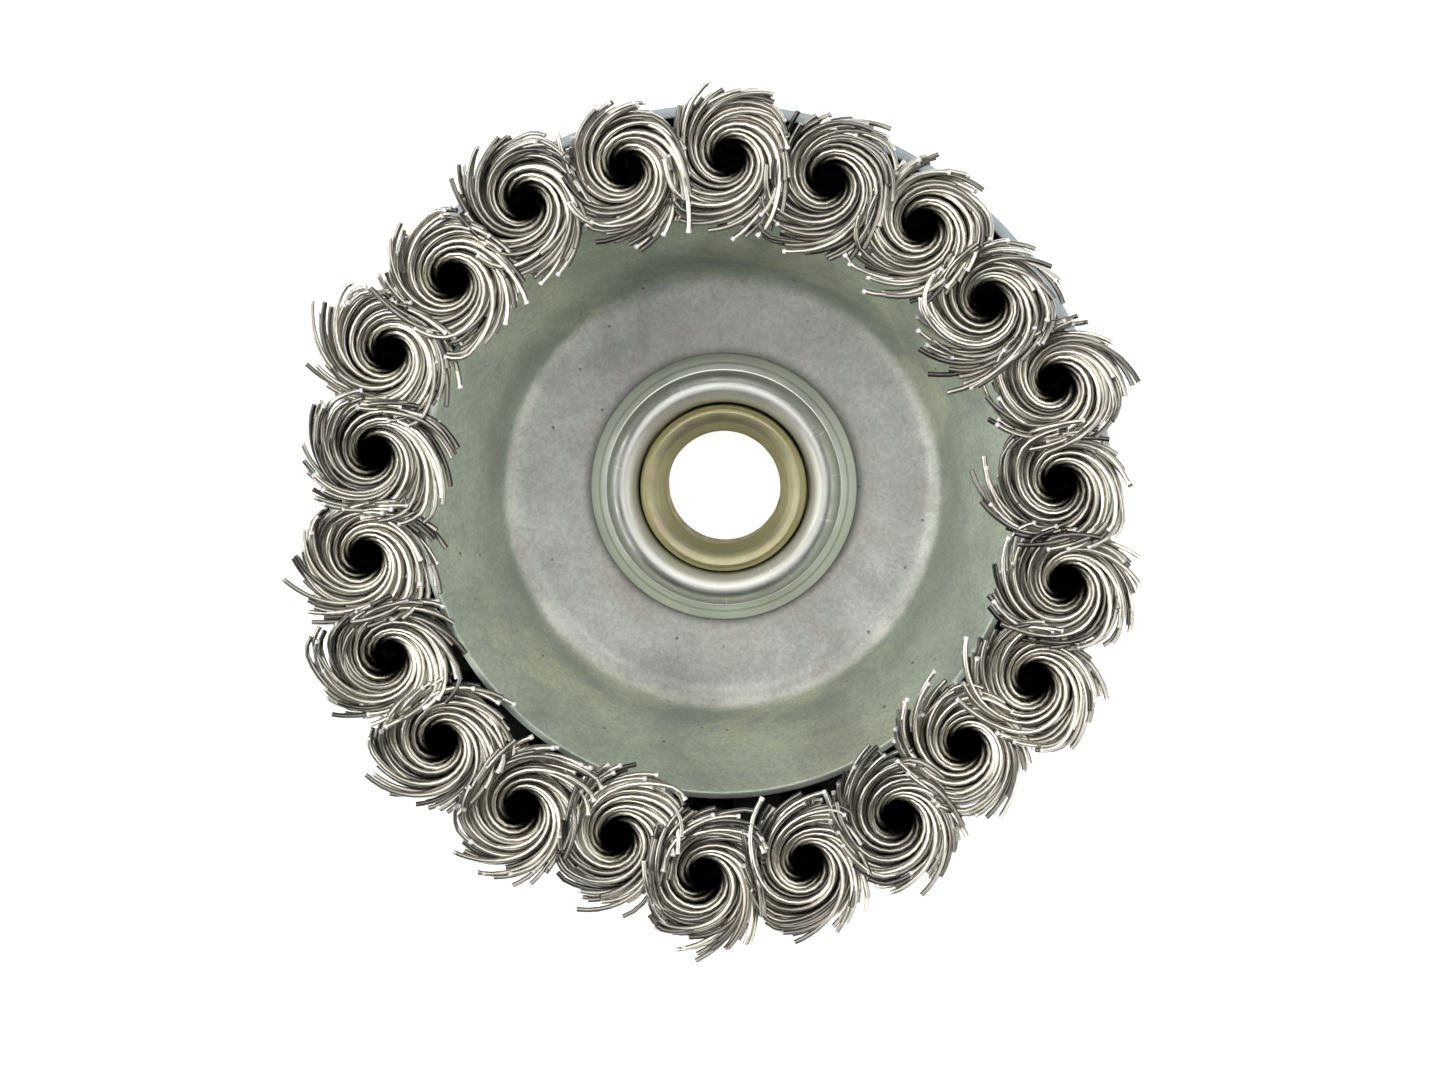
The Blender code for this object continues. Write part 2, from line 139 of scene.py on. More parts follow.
class CupBrushKnotSizes(bpy.types.PropertyGroup):
    """Sizes of the wires and of the knots; the knot tree's inputs have the same names."""

    wire_radius: length("Wire radius", "Half the wire's thickness", 0.31 * MM)
    skin_wires: count("Skin wires", "Wires in the rope's skin", 24)
    throat_wires: count("Throat wires", "Wires round the throat; each layer out has more", 9)
    more_wires: count("More wires", "Wires that each layer has more than the one inside it", 3)
    short_wires: count("Short wires", "Wires cut short; only those on the dish's side stay", 22)
    short_drop: length("Short wire drop", "How much lower the short wires open", 4.5 * MM)
    short_share: ratio("Short wire share", "Length of the short wires' flare", 0.85)
    rope_radius: length("Rope radius", "Radius of the skin wires' helix", 2.85 * MM)
    throat_radius: length("Throat radius", "Radius of the innermost wires' helix", 1.99 * MM)
    layer_step: length("Layer step", "Distance from layer to layer in the mouth", 0.50 * MM)
    rope_angle: turn("Rope angle", "Angle of the skin wires to the rope's axis", 41.0)
    mouth_angle: turn("Mouth angle", "Angle of the wires to the slope in the mouth", 69.0)
    flare_angle: turn("Flare angle", "Angle of the wires to the slope at the tips", 65.5)
    flare_slope: turn("Flare slope", "How far the flare lies down at its edge", 76.0)
    flare_length: length("Flare length", "Length of wire in the flare", 22.8 * MM)
    flare_start: length("Flare start", "Height of the rope below the flare", 38.7 * MM)
    flare_curve: ratio("Flare curve", "How late the flare lies down", 0.5)
    layer_drop: length("Layer drop", "How much lower each layer out opens", 0.58 * MM)
    layer_slope: turn("Layer slope", "How much steeper each layer out stands at the tips", 3.6)
    circle_radius: length("Knot circle radius", "Radius of the circle of knots", 39.4 * MM)
    splay: length("Splay", "How far the knots splay outwards", 1.2 * MM)
    overlap: length("Overlap", "How far neighbouring flares reach into each other", 2.1 * MM)
    loop_radius: length("Loop radius", "Bend radius of the loops round the plate", 3.0 * MM)
    loop_bottom: length("Loop bottom", "How far below the root the loops' bends start", 2.6 * MM)
    leg_radius: length("Leg radius", "Radius of each leg of a loop", 1.7 * MM)
    trim_length: length("Trim length", "How far the wires stand out of the cup", 30.0 * MM)


class CupBrushFinishes(bpy.types.PropertyGroup):
    """Colours of the finishes."""

    yellow_zinc: colour("Yellow zinc", "Nut", (0.54, 0.50, 0.30))
    blue_zinc: colour("Blue zinc", "Outer cup", (0.42, 0.48, 0.50))
    dull_zinc: colour("Dull zinc", "Inner dish's wall", (0.67, 0.745, 0.62))
    worn_zinc: colour("Worn zinc", "Inner dish's floor", (0.60, 0.62, 0.58))
    bright_zinc: colour("Bright zinc", "Clamp ring", (0.66, 0.66, 0.62))
    # Painted shade: the knot plate is near black, as it lies in shade inside the cup
    plate_steel: colour("Plate steel in painted shade", "Knot plate", (0.06, 0.058, 0.055))
    dark_wire: colour("Dark wire", "Darkest of the wires", (0.115, 0.110, 0.098))
    light_wire: colour("Light wire", "Lightest of the wires", (1.0, 0.96, 0.84))
    cut_end: colour("Cut end", "Freshly cut wire ends", (0.95, 0.94, 0.91))
    floor: colour("Floor", "Studio floor", (0.90, 0.90, 0.90))


# Outlines of the turned pieces, as (radius, height)

ARC_STEP = math.radians(6)
ROUNDING_STEP = math.radians(18)
DISH_WALL_STEP = math.radians(1.5)
SHARP_EDGE = math.radians(32)


def arc(centre, radius, start, end, step=ARC_STEP):
    """Points on an arc from one angle to another, both ends included."""
    steps = max(2, math.ceil(abs(end - start) / step))
    points = []
    for index in range(steps + 1):
        angle = start + (end - start) * index / steps
        points.append(
            (centre[0] + radius * math.cos(angle), centre[1] + radius * math.sin(angle))
        )
    return points


def rounded(outline, corners):
    """Round the named corners of a closed outline; corners maps an index to a radius."""
    made = []
    for index, point in enumerate(outline):
        if index not in corners:
            made.append(point)
            continue
        here = Vector(point)
        back = (Vector(outline[index - 1]) - here).normalized()
        ahead = (Vector(outline[(index + 1) % len(outline)]) - here).normalized()
        opening = math.acos(max(-1.0, min(1.0, back.dot(ahead))))
        radius = corners[index]
        reach = radius / math.tan(opening / 2)
        centre = here + (back + ahead).normalized() * (radius / math.sin(opening / 2))
        first = here + back * reach - centre
        last = here + ahead * reach - centre
        start = math.atan2(first.y, first.x)
        sweep = (math.atan2(last.y, last.x) - start + math.pi) % (2 * math.pi) - math.pi
        made += arc(centre, radius, start, start + sweep, ROUNDING_STEP)
    return made


def sheet(path, thickness, edge):
    """Close a path into a pressed sheet on its right-hand side, with softened ends."""
    normals = []
    for (x0, z0), (x1, z1) in zip(path, path[1:]):
        span = math.hypot(x1 - x0, z1 - z0)
        normals.append(Vector(((z1 - z0) / span, (x0 - x1) / span)))
    far_side = []
    for index, point in enumerate(path):
        before = normals[max(index - 1, 0)]
        after = normals[min(index, len(normals) - 1)]
        offset = (before + after) * (thickness / (1 + before.dot(after)))
        far_side.append((point[0] + offset.x, point[1] + offset.y))
    outline = list(path) + far_side[::-1]
    last = len(path) - 1
    return rounded(outline, {0: edge, last: edge, last + 1: edge, len(outline) - 1: edge})


def turned(name, outline, facets, reshape=None):
    """A closed outline turned round the Z axis; reshape may change a point's radius."""
    verts = []
    for radius, height in outline:
        for index in range(facets):
            angle = 2 * math.pi * index / facets
            reach = reshape(radius, height, angle) if reshape else radius
            verts.append((reach * math.cos(angle), reach * math.sin(angle), height))
    faces = []
    for row in range(len(outline)):
        this = row * facets
        after = (row + 1) % len(outline) * facets
        for index in range(facets):
            beside = (index + 1) % facets
            faces.append((this + index, this + beside, after + beside, after + index))
    mesh = bpy.data.meshes.new(name)
    mesh.from_pydata(verts, [], faces)
    bm = bmesh.new()
    bm.from_mesh(mesh)
    bmesh.ops.recalc_face_normals(bm, faces=bm.faces)
    bm.to_mesh(mesh)
    bm.free()
    return smooth_piece(name, mesh, SHARP_EDGE)


def smooth_piece(name, mesh, sharp_edge):
    """An object of a smooth mesh that keeps its sharp edges."""
    mesh.shade_smooth()
    mesh.set_sharp_from_angle(angle=sharp_edge)
    piece = bpy.data.objects.new(name, mesh)
    bpy.context.scene.collection.objects.link(piece)
    return piece


def finish_piece(piece, material, node):
    """Give a piece its material, hang it under the root body and hide the node that it stands
    for.
    """
    piece.data.materials.clear()
    piece.data.materials.append(material)
    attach(piece, "root")
    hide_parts(node)


# Node trees

FLOAT = "NodeSocketFloat"
INT = "NodeSocketInt"
VECTOR = "NodeSocketVector"
GEOMETRY = "NodeSocketGeometry"


class Field:
    """A node's output, for sums and products like those of numbers."""

    def __init__(self, nodes, socket):
        self.nodes = nodes
        self.socket = socket

    def __add__(self, other):
        return self.nodes.math("ADD", self, other)

    def __sub__(self, other):
        return self.nodes.math("SUBTRACT", self, other)

    def __rsub__(self, other):
        return self.nodes.math("SUBTRACT", other, self)

    def __mul__(self, other):
        return self.nodes.math("MULTIPLY", self, other)

    def __truediv__(self, other):
        return self.nodes.math("DIVIDE", self, other)

    def __rtruediv__(self, other):
        return self.nodes.math("DIVIDE", other, self)

    def __pow__(self, other):
        return self.nodes.math("POWER", self, other)


class Nodes:
    """A node tree with short ways to add and join nodes."""

    def __init__(self, tree):
        self.tree = tree

    def put(self, socket, value):
        """Set a socket's value, or join an output to it."""
        if isinstance(value, Field):
            self.tree.links.new(value.socket, socket)
        else:
            socket.default_value = value

    def add(self, kind, inputs=None, **settings):
        """Add a node with its settings and its inputs by name or number."""
        node = self.tree.nodes.new(kind)
        for key, value in settings.items():
            setattr(node, key, value)
        for key, value in (inputs or {}).items():
            self.put(node.inputs[key], value)
        return node

    def field(self, kind, inputs=None, output=0, **settings):
        """Add a node and give one of its outputs."""
        return Field(self, self.add(kind, inputs, **settings).outputs[output])

    def given(self):
        """The group's inputs by name."""
        sockets = self.add("NodeGroupInput").outputs
        return {socket.name: Field(self, socket) for socket in sockets if socket.name}

    def math(self, operation, *values, clamp=False):
        return self.field(
            "ShaderNodeMath", dict(enumerate(values)), operation=operation, use_clamp=clamp
        )

    def cos(self, angle):
        return self.math("COSINE", angle)

    def sin(self, angle):
        return self.math("SINE", angle)

    def higher(self, a, b):
        return self.math("MAXIMUM", a, b)

    def lower(self, a, b):
        return self.math("MINIMUM", a, b)

    def above(self, a, b):
        """1 where a is more than b, else 0."""
        return self.math("GREATER_THAN", a, b)

    def size(self, a):
        """A number without its sign."""
        return self.math("ABSOLUTE", a)

    def mix(self, a, b, share):
        """a where share is 0 and b where it is 1."""
        return self.math("MULTIPLY_ADD", b - a, share, a)

    def smooth(self, value, low, high):
        """0 below low, 1 above high and a soft step between."""
        return self.field(
            "ShaderNodeMapRange",
            {0: value, 1: low, 2: high, 3: 0.0, 4: 1.0},
            interpolation_type="SMOOTHSTEP",
        )

    def fading(self, value, low, high):
        """1 below low, 0 above high and a soft step between."""
        return 1.0 - self.smooth(value, low, high)

    def band(self, value, centre, width, soft):
        """1 within width of a centre value and 0 outside it."""
        return self.fading(self.size(value - centre), width - soft, width + soft)

    def vector(self, x, y, z):
        return self.field("ShaderNodeCombineXYZ", {0: x, 1: y, 2: z})

    def split(self, vector):
        """A vector's x, y and z."""
        node = self.add("ShaderNodeSeparateXYZ", {0: vector})
        return [Field(self, socket) for socket in node.outputs]


def new_tree(name, kind, inputs, outputs):
    """A node group with named sockets; inputs and outputs are (name, socket type, default)."""
    tree = bpy.data.node_groups.new(name, kind)
    for in_out, wanted in (("INPUT", inputs), ("OUTPUT", outputs)):
        for label, socket_type, default in wanted:
            socket = tree.interface.new_socket(label, in_out=in_out, socket_type=socket_type)
            if default is not None:
                socket.default_value = default
    return tree


def sockets(kind, names):
    """Sockets of one type, without defaults of their own."""
    return [(name, kind, None) for name in names]


class WireNodes(Nodes):
    """Geometry nodes that bend and mark bundles of wires."""

    def __init__(self, name, inputs):
        super().__init__(
            new_tree(name, "GeometryNodeTree", inputs, sockets(GEOMETRY, ["Geometry"]))
        )

    def straight_wires(self, wires, points):
        """Copies of a straight wire, with each point's wire and its step along the wire."""
        line = self.field("GeometryNodeCurvePrimitiveLine", {"End": (0.0, 0.0, 10 * MM)})
        strand = self.field("GeometryNodeResampleCurve", {"Curve": line, "Count": points})
        copies = self.field(
            "GeometryNodeDuplicateElements",
            {"Geometry": strand, "Amount": wires},
            output="Geometry",
            domain="SPLINE",
        )
        index = self.field("GeometryNodeInputIndex") + 0.5
        wire = self.math("FLOOR", index / points)
        step = self.math("FLOOR", index - wire * points)
        return copies, wire, step

    def random(self, owner, low, high, seed):
        """A random number that is the same wherever the owner's number is."""
        return self.field(
            "FunctionNodeRandomValue",
            {2: low, 3: high, "ID": owner, "Seed": seed},
            output=1,
            data_type="FLOAT",
        )

    def running_sum(self, value, wire):
        """The sum of a field from a wire's root to each of its points."""
        return self.field(
            "GeometryNodeAccumulateField",
            {0: value, "Group ID": wire},
            data_type="FLOAT",
            domain="POINT",
        )

    def placed(self, geometry, out, aside, height):
        """Move the points to where the fields say."""
        return self.field(
            "GeometryNodeSetPosition",
            {"Geometry": geometry, "Position": self.vector(out, aside, height)},
        )

    def marked(self, geometry, values):
        """Store fields on the points under their names."""
        for name, value in values.items():
            geometry = self.field(
                "GeometryNodeStoreNamedAttribute",
                {"Geometry": geometry, "Name": name, "Value": value},
                data_type="FLOAT",
                domain="POINT",
            )
        return geometry

    def mark(self, name):
        """A field that was stored under this name."""
        return self.field("GeometryNodeInputNamedAttribute", {"Name": name}, data_type="FLOAT")

    def tubes(self, curves, radius):
        """Closed six-sided wires along the curves."""
        ring = self.field("GeometryNodeCurvePrimitiveCircle", {"Resolution": 6, "Radius": radius})
        return self.field(
            "GeometryNodeCurveToMesh",
            {"Curve": curves, "Profile Curve": ring, "Fill Caps": True},
        )


# The wires' unevenness: lowest value, highest value and seed of each wire's draws
WIRE_DRAWS = {
    "start": (-0.22, 0.22, 11),
    "tip turn": (0.0, 0.3, 12),
    "length": (-0.14, 0.02, 13),
    "stray": (0.0, 1.0, 14),
    "rise": (-0.11, 0.06, 15),
    "veer": (-0.10, 0.10, 16),
    "depth": (-0.07 * MM, 0.07 * MM, 17),
    "curl": (-0.5 * MM, 0.5 * MM, 18),
    "wander": (-0.06, 0.06, 19),
    "limit": (0.94, 1.05, 20),
    "tone": (0.0, 1.0, 21),
    "covered length": (-0.16, 0.06, 22),
    "upturned": (0.0, 1.0, 23),
    "upturn": (-0.32, -0.10, 24),
}

# The same for clumps of wires that lie together
WIRES_PER_CLUMP = 3.0
CLUMP_DRAWS = {
    "length": (-0.05, 0.03, 31),
    "rise": (-0.10, 0.06, 32),
    "veer": (-0.11, 0.11, 33),
    "curl": (-0.5 * MM, 0.5 * MM, 34),
    "wander": (-0.12, 0.12, 35),
}

# A wire's tip points at least this many radians round from its root
TIP_TURN = 3.5
# Wires that point outwards are longer than those that point inwards, most of all aslant
LONGER_OUT = 0.04
LONGER_ASLANT = 0.30
# Few wires stray far: the power makes them rare
STRAY_POWER = 11.0
STRAY_LENGTH = 0.22
# Share of the covered wires that don't turn up
LYING_SHARE = 0.72
# A layer this deep counts as fully covered
COVERED_DEPTH = 2.1 * MM
# Share of the flare in which the mouth opens
MOUTH_SHARE = 0.25
# The rope swells in its last bit below the flare; the flare thins out after its start
SWELL_LENGTH = 5 * MM
THIN_START = 0.1
THINNING = 0.72
CURL_POWER = 2.0
WANDER_POWER = 1.5
# The legs of the loop stretch the root outwards and narrow it, less and less further up
ROOT_FADE = 3 * MM
ROOT_STRETCH = 0.55
ROOT_NARROWING = 0.32
# Share of the room beside a knot in which its neighbour's press builds up
PRESS_SHARE = 0.45
PRESS_RISE = 0.2
LEAN_POWER = 1.3
SPLAY_HEIGHT = 45.8 * MM
# Short wires stay where the cosine of their tip's direction is below this
INWARD_BELOW = -0.1
# Share of the flare at which the inside of the rope is out of sight
ROPE_END = 0.12

LAYER_COUNTS = ("Wires", "Rope Segments", "Flare Segments", "Seed")
LAYER_SIZES = (
    "Depth", "Rope Height", "Wire Radius", "Throat Radius", "Rope Share", "Rope Angle",
    "Mouth Angle", "Flare Angle", "Flare Slope", "Flare Length", "Flare Start", "Flare Curve",
    "Limit Ahead", "Limit Behind", "Lean Out", "Lean Aside", "Splay", "Rise", "Free Height",
    "Trim Length", "Hidden", "Inward Only",
)


def wire_layer_tree():
    """One layer of a knot's wires: a helix up the rope that opens into the flare."""
    f = WireNodes("wire layer", sockets(INT, LAYER_COUNTS) + sockets(FLOAT, LAYER_SIZES))
    given = f.given()
    rope_segments = given["Rope Segments"]
    flare_segments = given["Flare Segments"]
    wires, wire, step = f.straight_wires(given["Wires"], rope_segments + flare_segments + 1.0)
    clump = f.math("FLOOR", (wire + 0.5) / WIRES_PER_CLUMP)

    def scatter(name):
        low, high, seed = WIRE_DRAWS[name]
        return f.random(wire, low, high, given["Seed"] + float(seed))

    def clumped(name):
        low, high, seed = CLUMP_DRAWS[name]
        return f.random(clump, low, high, given["Seed"] + float(seed))

    flare = f.higher((step - rope_segments) / flare_segments, 0.0)
    flare_before = f.higher((step - 0.5 - rope_segments) / flare_segments, 0.0)

    spacing = 2 * math.pi / given["Wires"]
    first_angle = (wire + scatter("start")) * spacing
    tip_angle = first_angle - (scatter("tip turn") + TIP_TURN)
    aslant = f.sin(tip_angle) ** 2.0
    longer = f.cos(tip_angle) * (aslant * LONGER_ASLANT + LONGER_OUT)
    covered = given["Depth"] / COVERED_DEPTH
    uneven = longer + (scatter("length") + clumped("length"))
    uneven = uneven + covered * scatter("covered length")
    stray = scatter("stray") ** STRAY_POWER * STRAY_LENGTH
    flare_length = given["Flare Length"] * (uneven + stray + 1.0)
    upturned = f.above(scatter("upturned"), LYING_SHARE)
    leaning_up = scatter("rise") + clumped("rise")
    leaning_up = leaning_up + covered * upturned * scatter("upturn")
    slope_end = given["Flare Slope"] * (leaning_up + 1.0)
    flare_angle = given["Flare Angle"] + (scatter("veer") + clumped("veer"))
    slope_before = slope_end * flare_before ** given["Flare Curve"]
    slope = slope_end * flare ** given["Flare Curve"]
    opened = f.smooth(flare_before, 0.0, MOUTH_SHARE)
    mouth = f.mix(given["Rope Angle"], given["Mouth Angle"], opened)
    lay = f.mix(mouth, flare_angle, f.smooth(flare_before, MOUTH_SHARE, 1.0))

    in_flare = f.above(step, rope_segments + 0.5)
    after_root = f.above(step, 0.5)
    rope_piece = given["Rope Height"] / f.cos(given["Rope Angle"]) / rope_segments
    flare_piece = flare_length / flare_segments
    piece = f.mix(rope_piece, flare_piece, in_flare) * after_root

    rising = f.cos(lay) * piece
    throat = given["Throat Radius"] + f.running_sum(rising * f.sin(slope_before), wire)
    base = given["Flare Start"] - given["Rope Height"]
    climb = base + f.running_sum(rising * f.cos(slope_before), wire)

    # The layers lie close in the rope, swell in the mouth and thin out towards the tips
    below = given["Flare Start"] - climb
    swell = f.mix(1.0, given["Rope Share"], f.smooth(below, 0.0, SWELL_LENGTH))
    thin = 1.0 - f.smooth(flare, THIN_START, 1.0) * THINNING
    depth = (given["Depth"] + scatter("depth")) * (swell * thin)
    radius = throat + depth * f.cos(slope)
    winding = f.running_sum(f.sin(lay) * piece / radius, wire)
    curl = flare ** CURL_POWER * (scatter("curl") + clumped("curl"))
    height = climb - depth * f.sin(slope) + curl
    wander = flare ** WANDER_POWER * (scatter("wander") + clumped("wander"))
    angle = first_angle - winding + wander
    on_axis_out = radius * f.cos(angle)
    on_axis_aside = radius * f.sin(angle)

    root = f.math("EXPONENT", height * (-1.0 / ROOT_FADE))
    out = on_axis_out * (root * ROOT_STRETCH + 1.0)
    aside = on_axis_aside * (1.0 - root * ROOT_NARROWING)

    # Neighbouring flares press against each other
    ahead = f.above(aside, 0.0)
    limit = f.mix(given["Limit Behind"], given["Limit Ahead"], ahead) * scatter("limit")
    soft = limit * PRESS_SHARE
    knee = limit - soft
    past = f.higher(f.size(aside) - knee, 0.0)
    pressed = past - (1.0 - f.math("EXPONENT", past * -1.0 / soft)) * soft
    pull = 1.0 - pressed / f.higher(f.size(aside), knee)
    out = out * pull
    aside = aside * pull
    height = height + pressed * PRESS_RISE

    # Free of the cup, the knot splays and leans
    free = f.higher(height - given["Free Height"], 0.0) / given["Trim Length"]
    leaning = free ** LEAN_POWER
    out = out + given["Lean Out"] * leaning
    out = out + given["Splay"] * (height / SPLAY_HEIGHT)
    aside = aside + given["Lean Aside"] * leaning
    height = height + given["Rise"] * flare

    # The tips are trimmed level at the works
    trimmed = given["Free Height"] + given["Trim Length"] - given["Wire Radius"]
    marks = {
        "tone": scatter("tone"),
        "flare": flare,
        "covered": covered,
        "inside rope": f.fading(flare, 0.0, ROPE_END),
        "centre out": out - on_axis_out,
        "centre aside": aside - on_axis_aside,
        "centre distance": radius,
    }
    curves = f.marked(f.placed(wires, out, aside, f.lower(height, trimmed)), marks)
    outward = f.above(f.cos(tip_angle), INWARD_BELOW)
    curves = f.field(
        "GeometryNodeDeleteGeometry",
        {"Geometry": curves, "Selection": outward * given["Inward Only"]},
        domain="POINT",
    )

    # No light reaches the inside of the rope: its inner layers and the inward side of its skin
    x, y, _ = f.split(f.field("GeometryNodeInputPosition"))
    east = x - f.mark("centre out")
    north = y - f.mark("centre aside")
    distance = f.math("SQRT", east * east + north * north)
    inward = f.math("LESS_THAN", distance, f.mark("centre distance"))
    unlit = f.higher(inward, given["Hidden"]) * f.mark("inside rope")
    tubes = f.marked(f.tubes(curves, given["Wire Radius"]), {"throat": unlit})
    f.add("NodeGroupOutput", {0: tubes})
    return f.tree


LOOP_WIRES = 14
LOOP_POINTS = 15
LOOP_TONE_SEED = 5
# Height at which the legs end in the knot's root
LEG_TOP = 0.4 * MM
LOOP_SIZES = ("Wire Radius", "Loop Radius", "Leg Radius", "Loop Bottom")


def wire_loop_tree():
    """The bundle of wires that loops through the plate under a knot."""
    f = WireNodes("wire loop", sockets(FLOAT, LOOP_SIZES))
    given = f.given()
    wires, wire, step = f.straight_wires(LOOP_WIRES, LOOP_POINTS)
    bend = f.math("DIVIDE", step - 1.0, LOOP_POINTS - 3.0, clamp=True) * -math.pi
    around = wire / LOOP_WIRES * (2 * math.pi)
    inset = given["Leg Radius"] - given["Wire Radius"]
    reach = given["Loop Radius"] + f.cos(around) * inset
    middle = (LOOP_POINTS - 1) / 2
    on_leg = f.above(f.size(step - middle), middle - 0.5)
    bottom = f.sin(bend) * reach - given["Loop Bottom"]
    height = f.mix(bottom, LEG_TOP, on_leg)
    curves = f.placed(wires, f.cos(bend) * reach, f.sin(around) * inset, height)
    tone = f.random(wire, 0.0, 1.0, LOOP_TONE_SEED)
    # Painted shade: all of the loop's wires are marked to go unlit black
    curves = f.marked(curves, {"tone": tone, "throat": 1.0})
    f.add("NodeGroupOutput", {0: f.tubes(curves, given["Wire Radius"])})
    return f.tree


INNER_LAYERS = 5
# Rope below the flare that each kind of layer shows, its segments and its first seed
INNER_ROPE = (6 * MM, 4, 0)
SHORT_ROPE = (4 * MM, 3, 1700)
SKIN_SEGMENTS = 20
SKIN_SEED = 900
SEEDS_PER_LAYER = 100

KNOT_COUNTS = (
    "Skin Wires", "Short Wires", "Throat Wires", "More Wires", "Flare Segments", "Seed",
)
KNOT_SIZES = (
    "Short Drop", "Short Share", "Layer Step", "Layer Drop", "Layer Slope", "Loop Radius",
    "Leg Radius", "Loop Bottom", "Circle Radius", "Root Height", "Angle", "Wire Radius",
    "Throat Radius", "Rope Share", "Rope Angle", "Mouth Angle", "Flare Angle", "Flare Slope",
    "Flare Length", "Flare Start", "Flare Curve", "Limit Ahead", "Limit Behind", "Lean Out",
    "Lean Aside", "Splay", "Rise", "Free Height", "Trim Length",
)


def knot_tree():
    """A whole knot: a skin of twisted wire, the layers in its mouth and the loop under it."""
    layer_tree = wire_layer_tree()
    f = WireNodes(
        "twisted knot",
        sockets(GEOMETRY, ["Geometry"]) + sockets(INT, KNOT_COUNTS) + sockets(FLOAT, KNOT_SIZES)
        + sockets("NodeSocketMaterial", ["Finish"]),
    )
    given = f.given()
    join = f.add("GeometryNodeJoinGeometry")

    def add_layer(wires, depth, rope_height, segments, seed, short=False):
        """Join the layer of this depth, counted from the throat, to the knot."""
        start = given["Flare Start"] - given["Layer Drop"] * float(depth)
        length = given["Flare Length"]
        own = {
            "Wires": wires,
            "Depth": given["Layer Step"] * float(depth),
            "Rope Height": rope_height,
            "Rope Segments": segments,
            "Seed": given["Seed"] + float(seed),
            "Hidden": 1.0 if depth < INNER_LAYERS else 0.0,
            "Inward Only": 1.0 if short else 0.0,
            "Flare Start": start - given["Short Drop"] if short else start,
            "Flare Length": length * given["Short Share"] if short else length,
            "Flare Slope": given["Flare Slope"] - given["Layer Slope"] * float(depth),
        }
        inputs = {
            name: own[name] if name in own else given[name]
            for name in LAYER_COUNTS + LAYER_SIZES
        }
        f.put(join.inputs[0], f.field("GeometryNodeGroup", inputs, node_tree=layer_tree))

    rope_height, segments, seed = INNER_ROPE
    for depth in range(INNER_LAYERS):
        wires = given["Throat Wires"] + given["More Wires"] * float(depth)
        add_layer(wires, depth, rope_height, segments, seed + SEEDS_PER_LAYER * depth)
    skin_height = given["Flare Start"] - given["Layer Drop"] * float(INNER_LAYERS)
    add_layer(given["Skin Wires"], INNER_LAYERS, skin_height, SKIN_SEGMENTS, SKIN_SEED)
    add_layer(given["Short Wires"], INNER_LAYERS, *SHORT_ROPE, short=True)
    loop_inputs = {name: given[name] for name in LOOP_SIZES}
    loop = f.field("GeometryNodeGroup", loop_inputs, node_tree=wire_loop_tree())
    f.put(join.inputs[0], loop)

    x = given["Circle Radius"] * f.cos(given["Angle"])
    y = given["Circle Radius"] * f.sin(given["Angle"])
    moved = f.field(
        "GeometryNodeTransform",
        {
            "Geometry": Field(f, join.outputs[0]),
            "Translation": f.vector(x, y, given["Root Height"]),
            "Rotation": f.vector(0.0, 0.0, given["Angle"]),
        },
    )
    real = f.field("GeometryNodeRealizeInstances", {"Geometry": moved})
    finished = f.field(
        "GeometryNodeSetMaterial", {"Geometry": real, "Material": given["Finish"]}
    )
    f.add("NodeGroupOutput", {0: finished})
    return f.tree


WIRE_SHARP_EDGE = math.radians(75)


def baked(name, tree, values):
    """Run a tree with the given inputs and keep its result as a plain mesh."""
    carrier = bpy.data.objects.new(name + "_carrier", bpy.data.meshes.new(name + "_carrier"))
    bpy.context.scene.collection.objects.link(carrier)
    modifier = carrier.modifiers.new("wires", "NODES")
    modifier.node_group = tree
    for item in tree.interface.items_tree:
        if item.in_out == "INPUT" and item.name in values:
            modifier[item.identifier] = values[item.name]
    depsgraph = bpy.context.evaluated_depsgraph_get()
    mesh = bpy.data.meshes.new_from_object(
        carrier.evaluated_get(depsgraph), preserve_all_data_layers=True, depsgraph=depsgraph
    )
    if not mesh.polygons:
        raise RuntimeError(f"{name}: the node tree made nothing")
    mesh.name = name
    bpy.data.objects.remove(carrier, do_unlink=True)
    return smooth_piece(name, mesh, WIRE_SHARP_EDGE)


# Effects that several materials share


class EffectNodes(Nodes):
    """A group of shader nodes that reads a place and gives fields by name."""

    def __init__(self, name, inputs, outputs):
        made = sockets(VECTOR, ["Vector"]) + [
            (key, VECTOR if isinstance(value, tuple) else FLOAT, value)
            for key, value in inputs.items()
        ]
        super().__init__(new_tree(name, "ShaderNodeTree", made, sockets(FLOAT, outputs)))

    def noise(self, vector, scale=1.0, detail=2.0, roughness=0.5, distortion=0.0):
        """The value of a noise texture."""
        return self.field(
            "ShaderNodeTexNoise",
            {"Vector": vector, "Scale": scale, "Detail": detail, "Roughness": roughness,
             "Distortion": distortion},
        )

    def around_axis(self, vector):
        """A place's height, its distance from the Z axis and its angle round it."""
        x, y, z = self.split(vector)
        radius = self.field(
            "ShaderNodeVectorMath", {0: self.vector(x, y, 0.0)}, output="Value",
            operation="LENGTH",
        )
        return z, radius, self.math("ARCTAN2", y, x)


def mottle_group(name):
    """Cloudy plating: a tone, and a fine grain as a shade and as a height."""
    f = EffectNodes(name, {"Cloud Size": 8 * MM, "Grain": 0.5 * MM}, ("Tone", "Fine", "Height"))
    given = f.given()
    clouds = f.noise(given["Vector"], 1.0 / given["Cloud Size"], detail=5.0, roughness=0.6)
    grain = f.noise(given["Vector"], 1.0 / given["Grain"], detail=3.0, roughness=0.65)
    tone = f.smooth(clouds, 0.34, 0.66)
    fine = f.smooth(grain, 0.30, 0.70)
    f.add("NodeGroupOutput", {"Tone": tone, "Fine": fine, "Height": grain})
    return f.tree


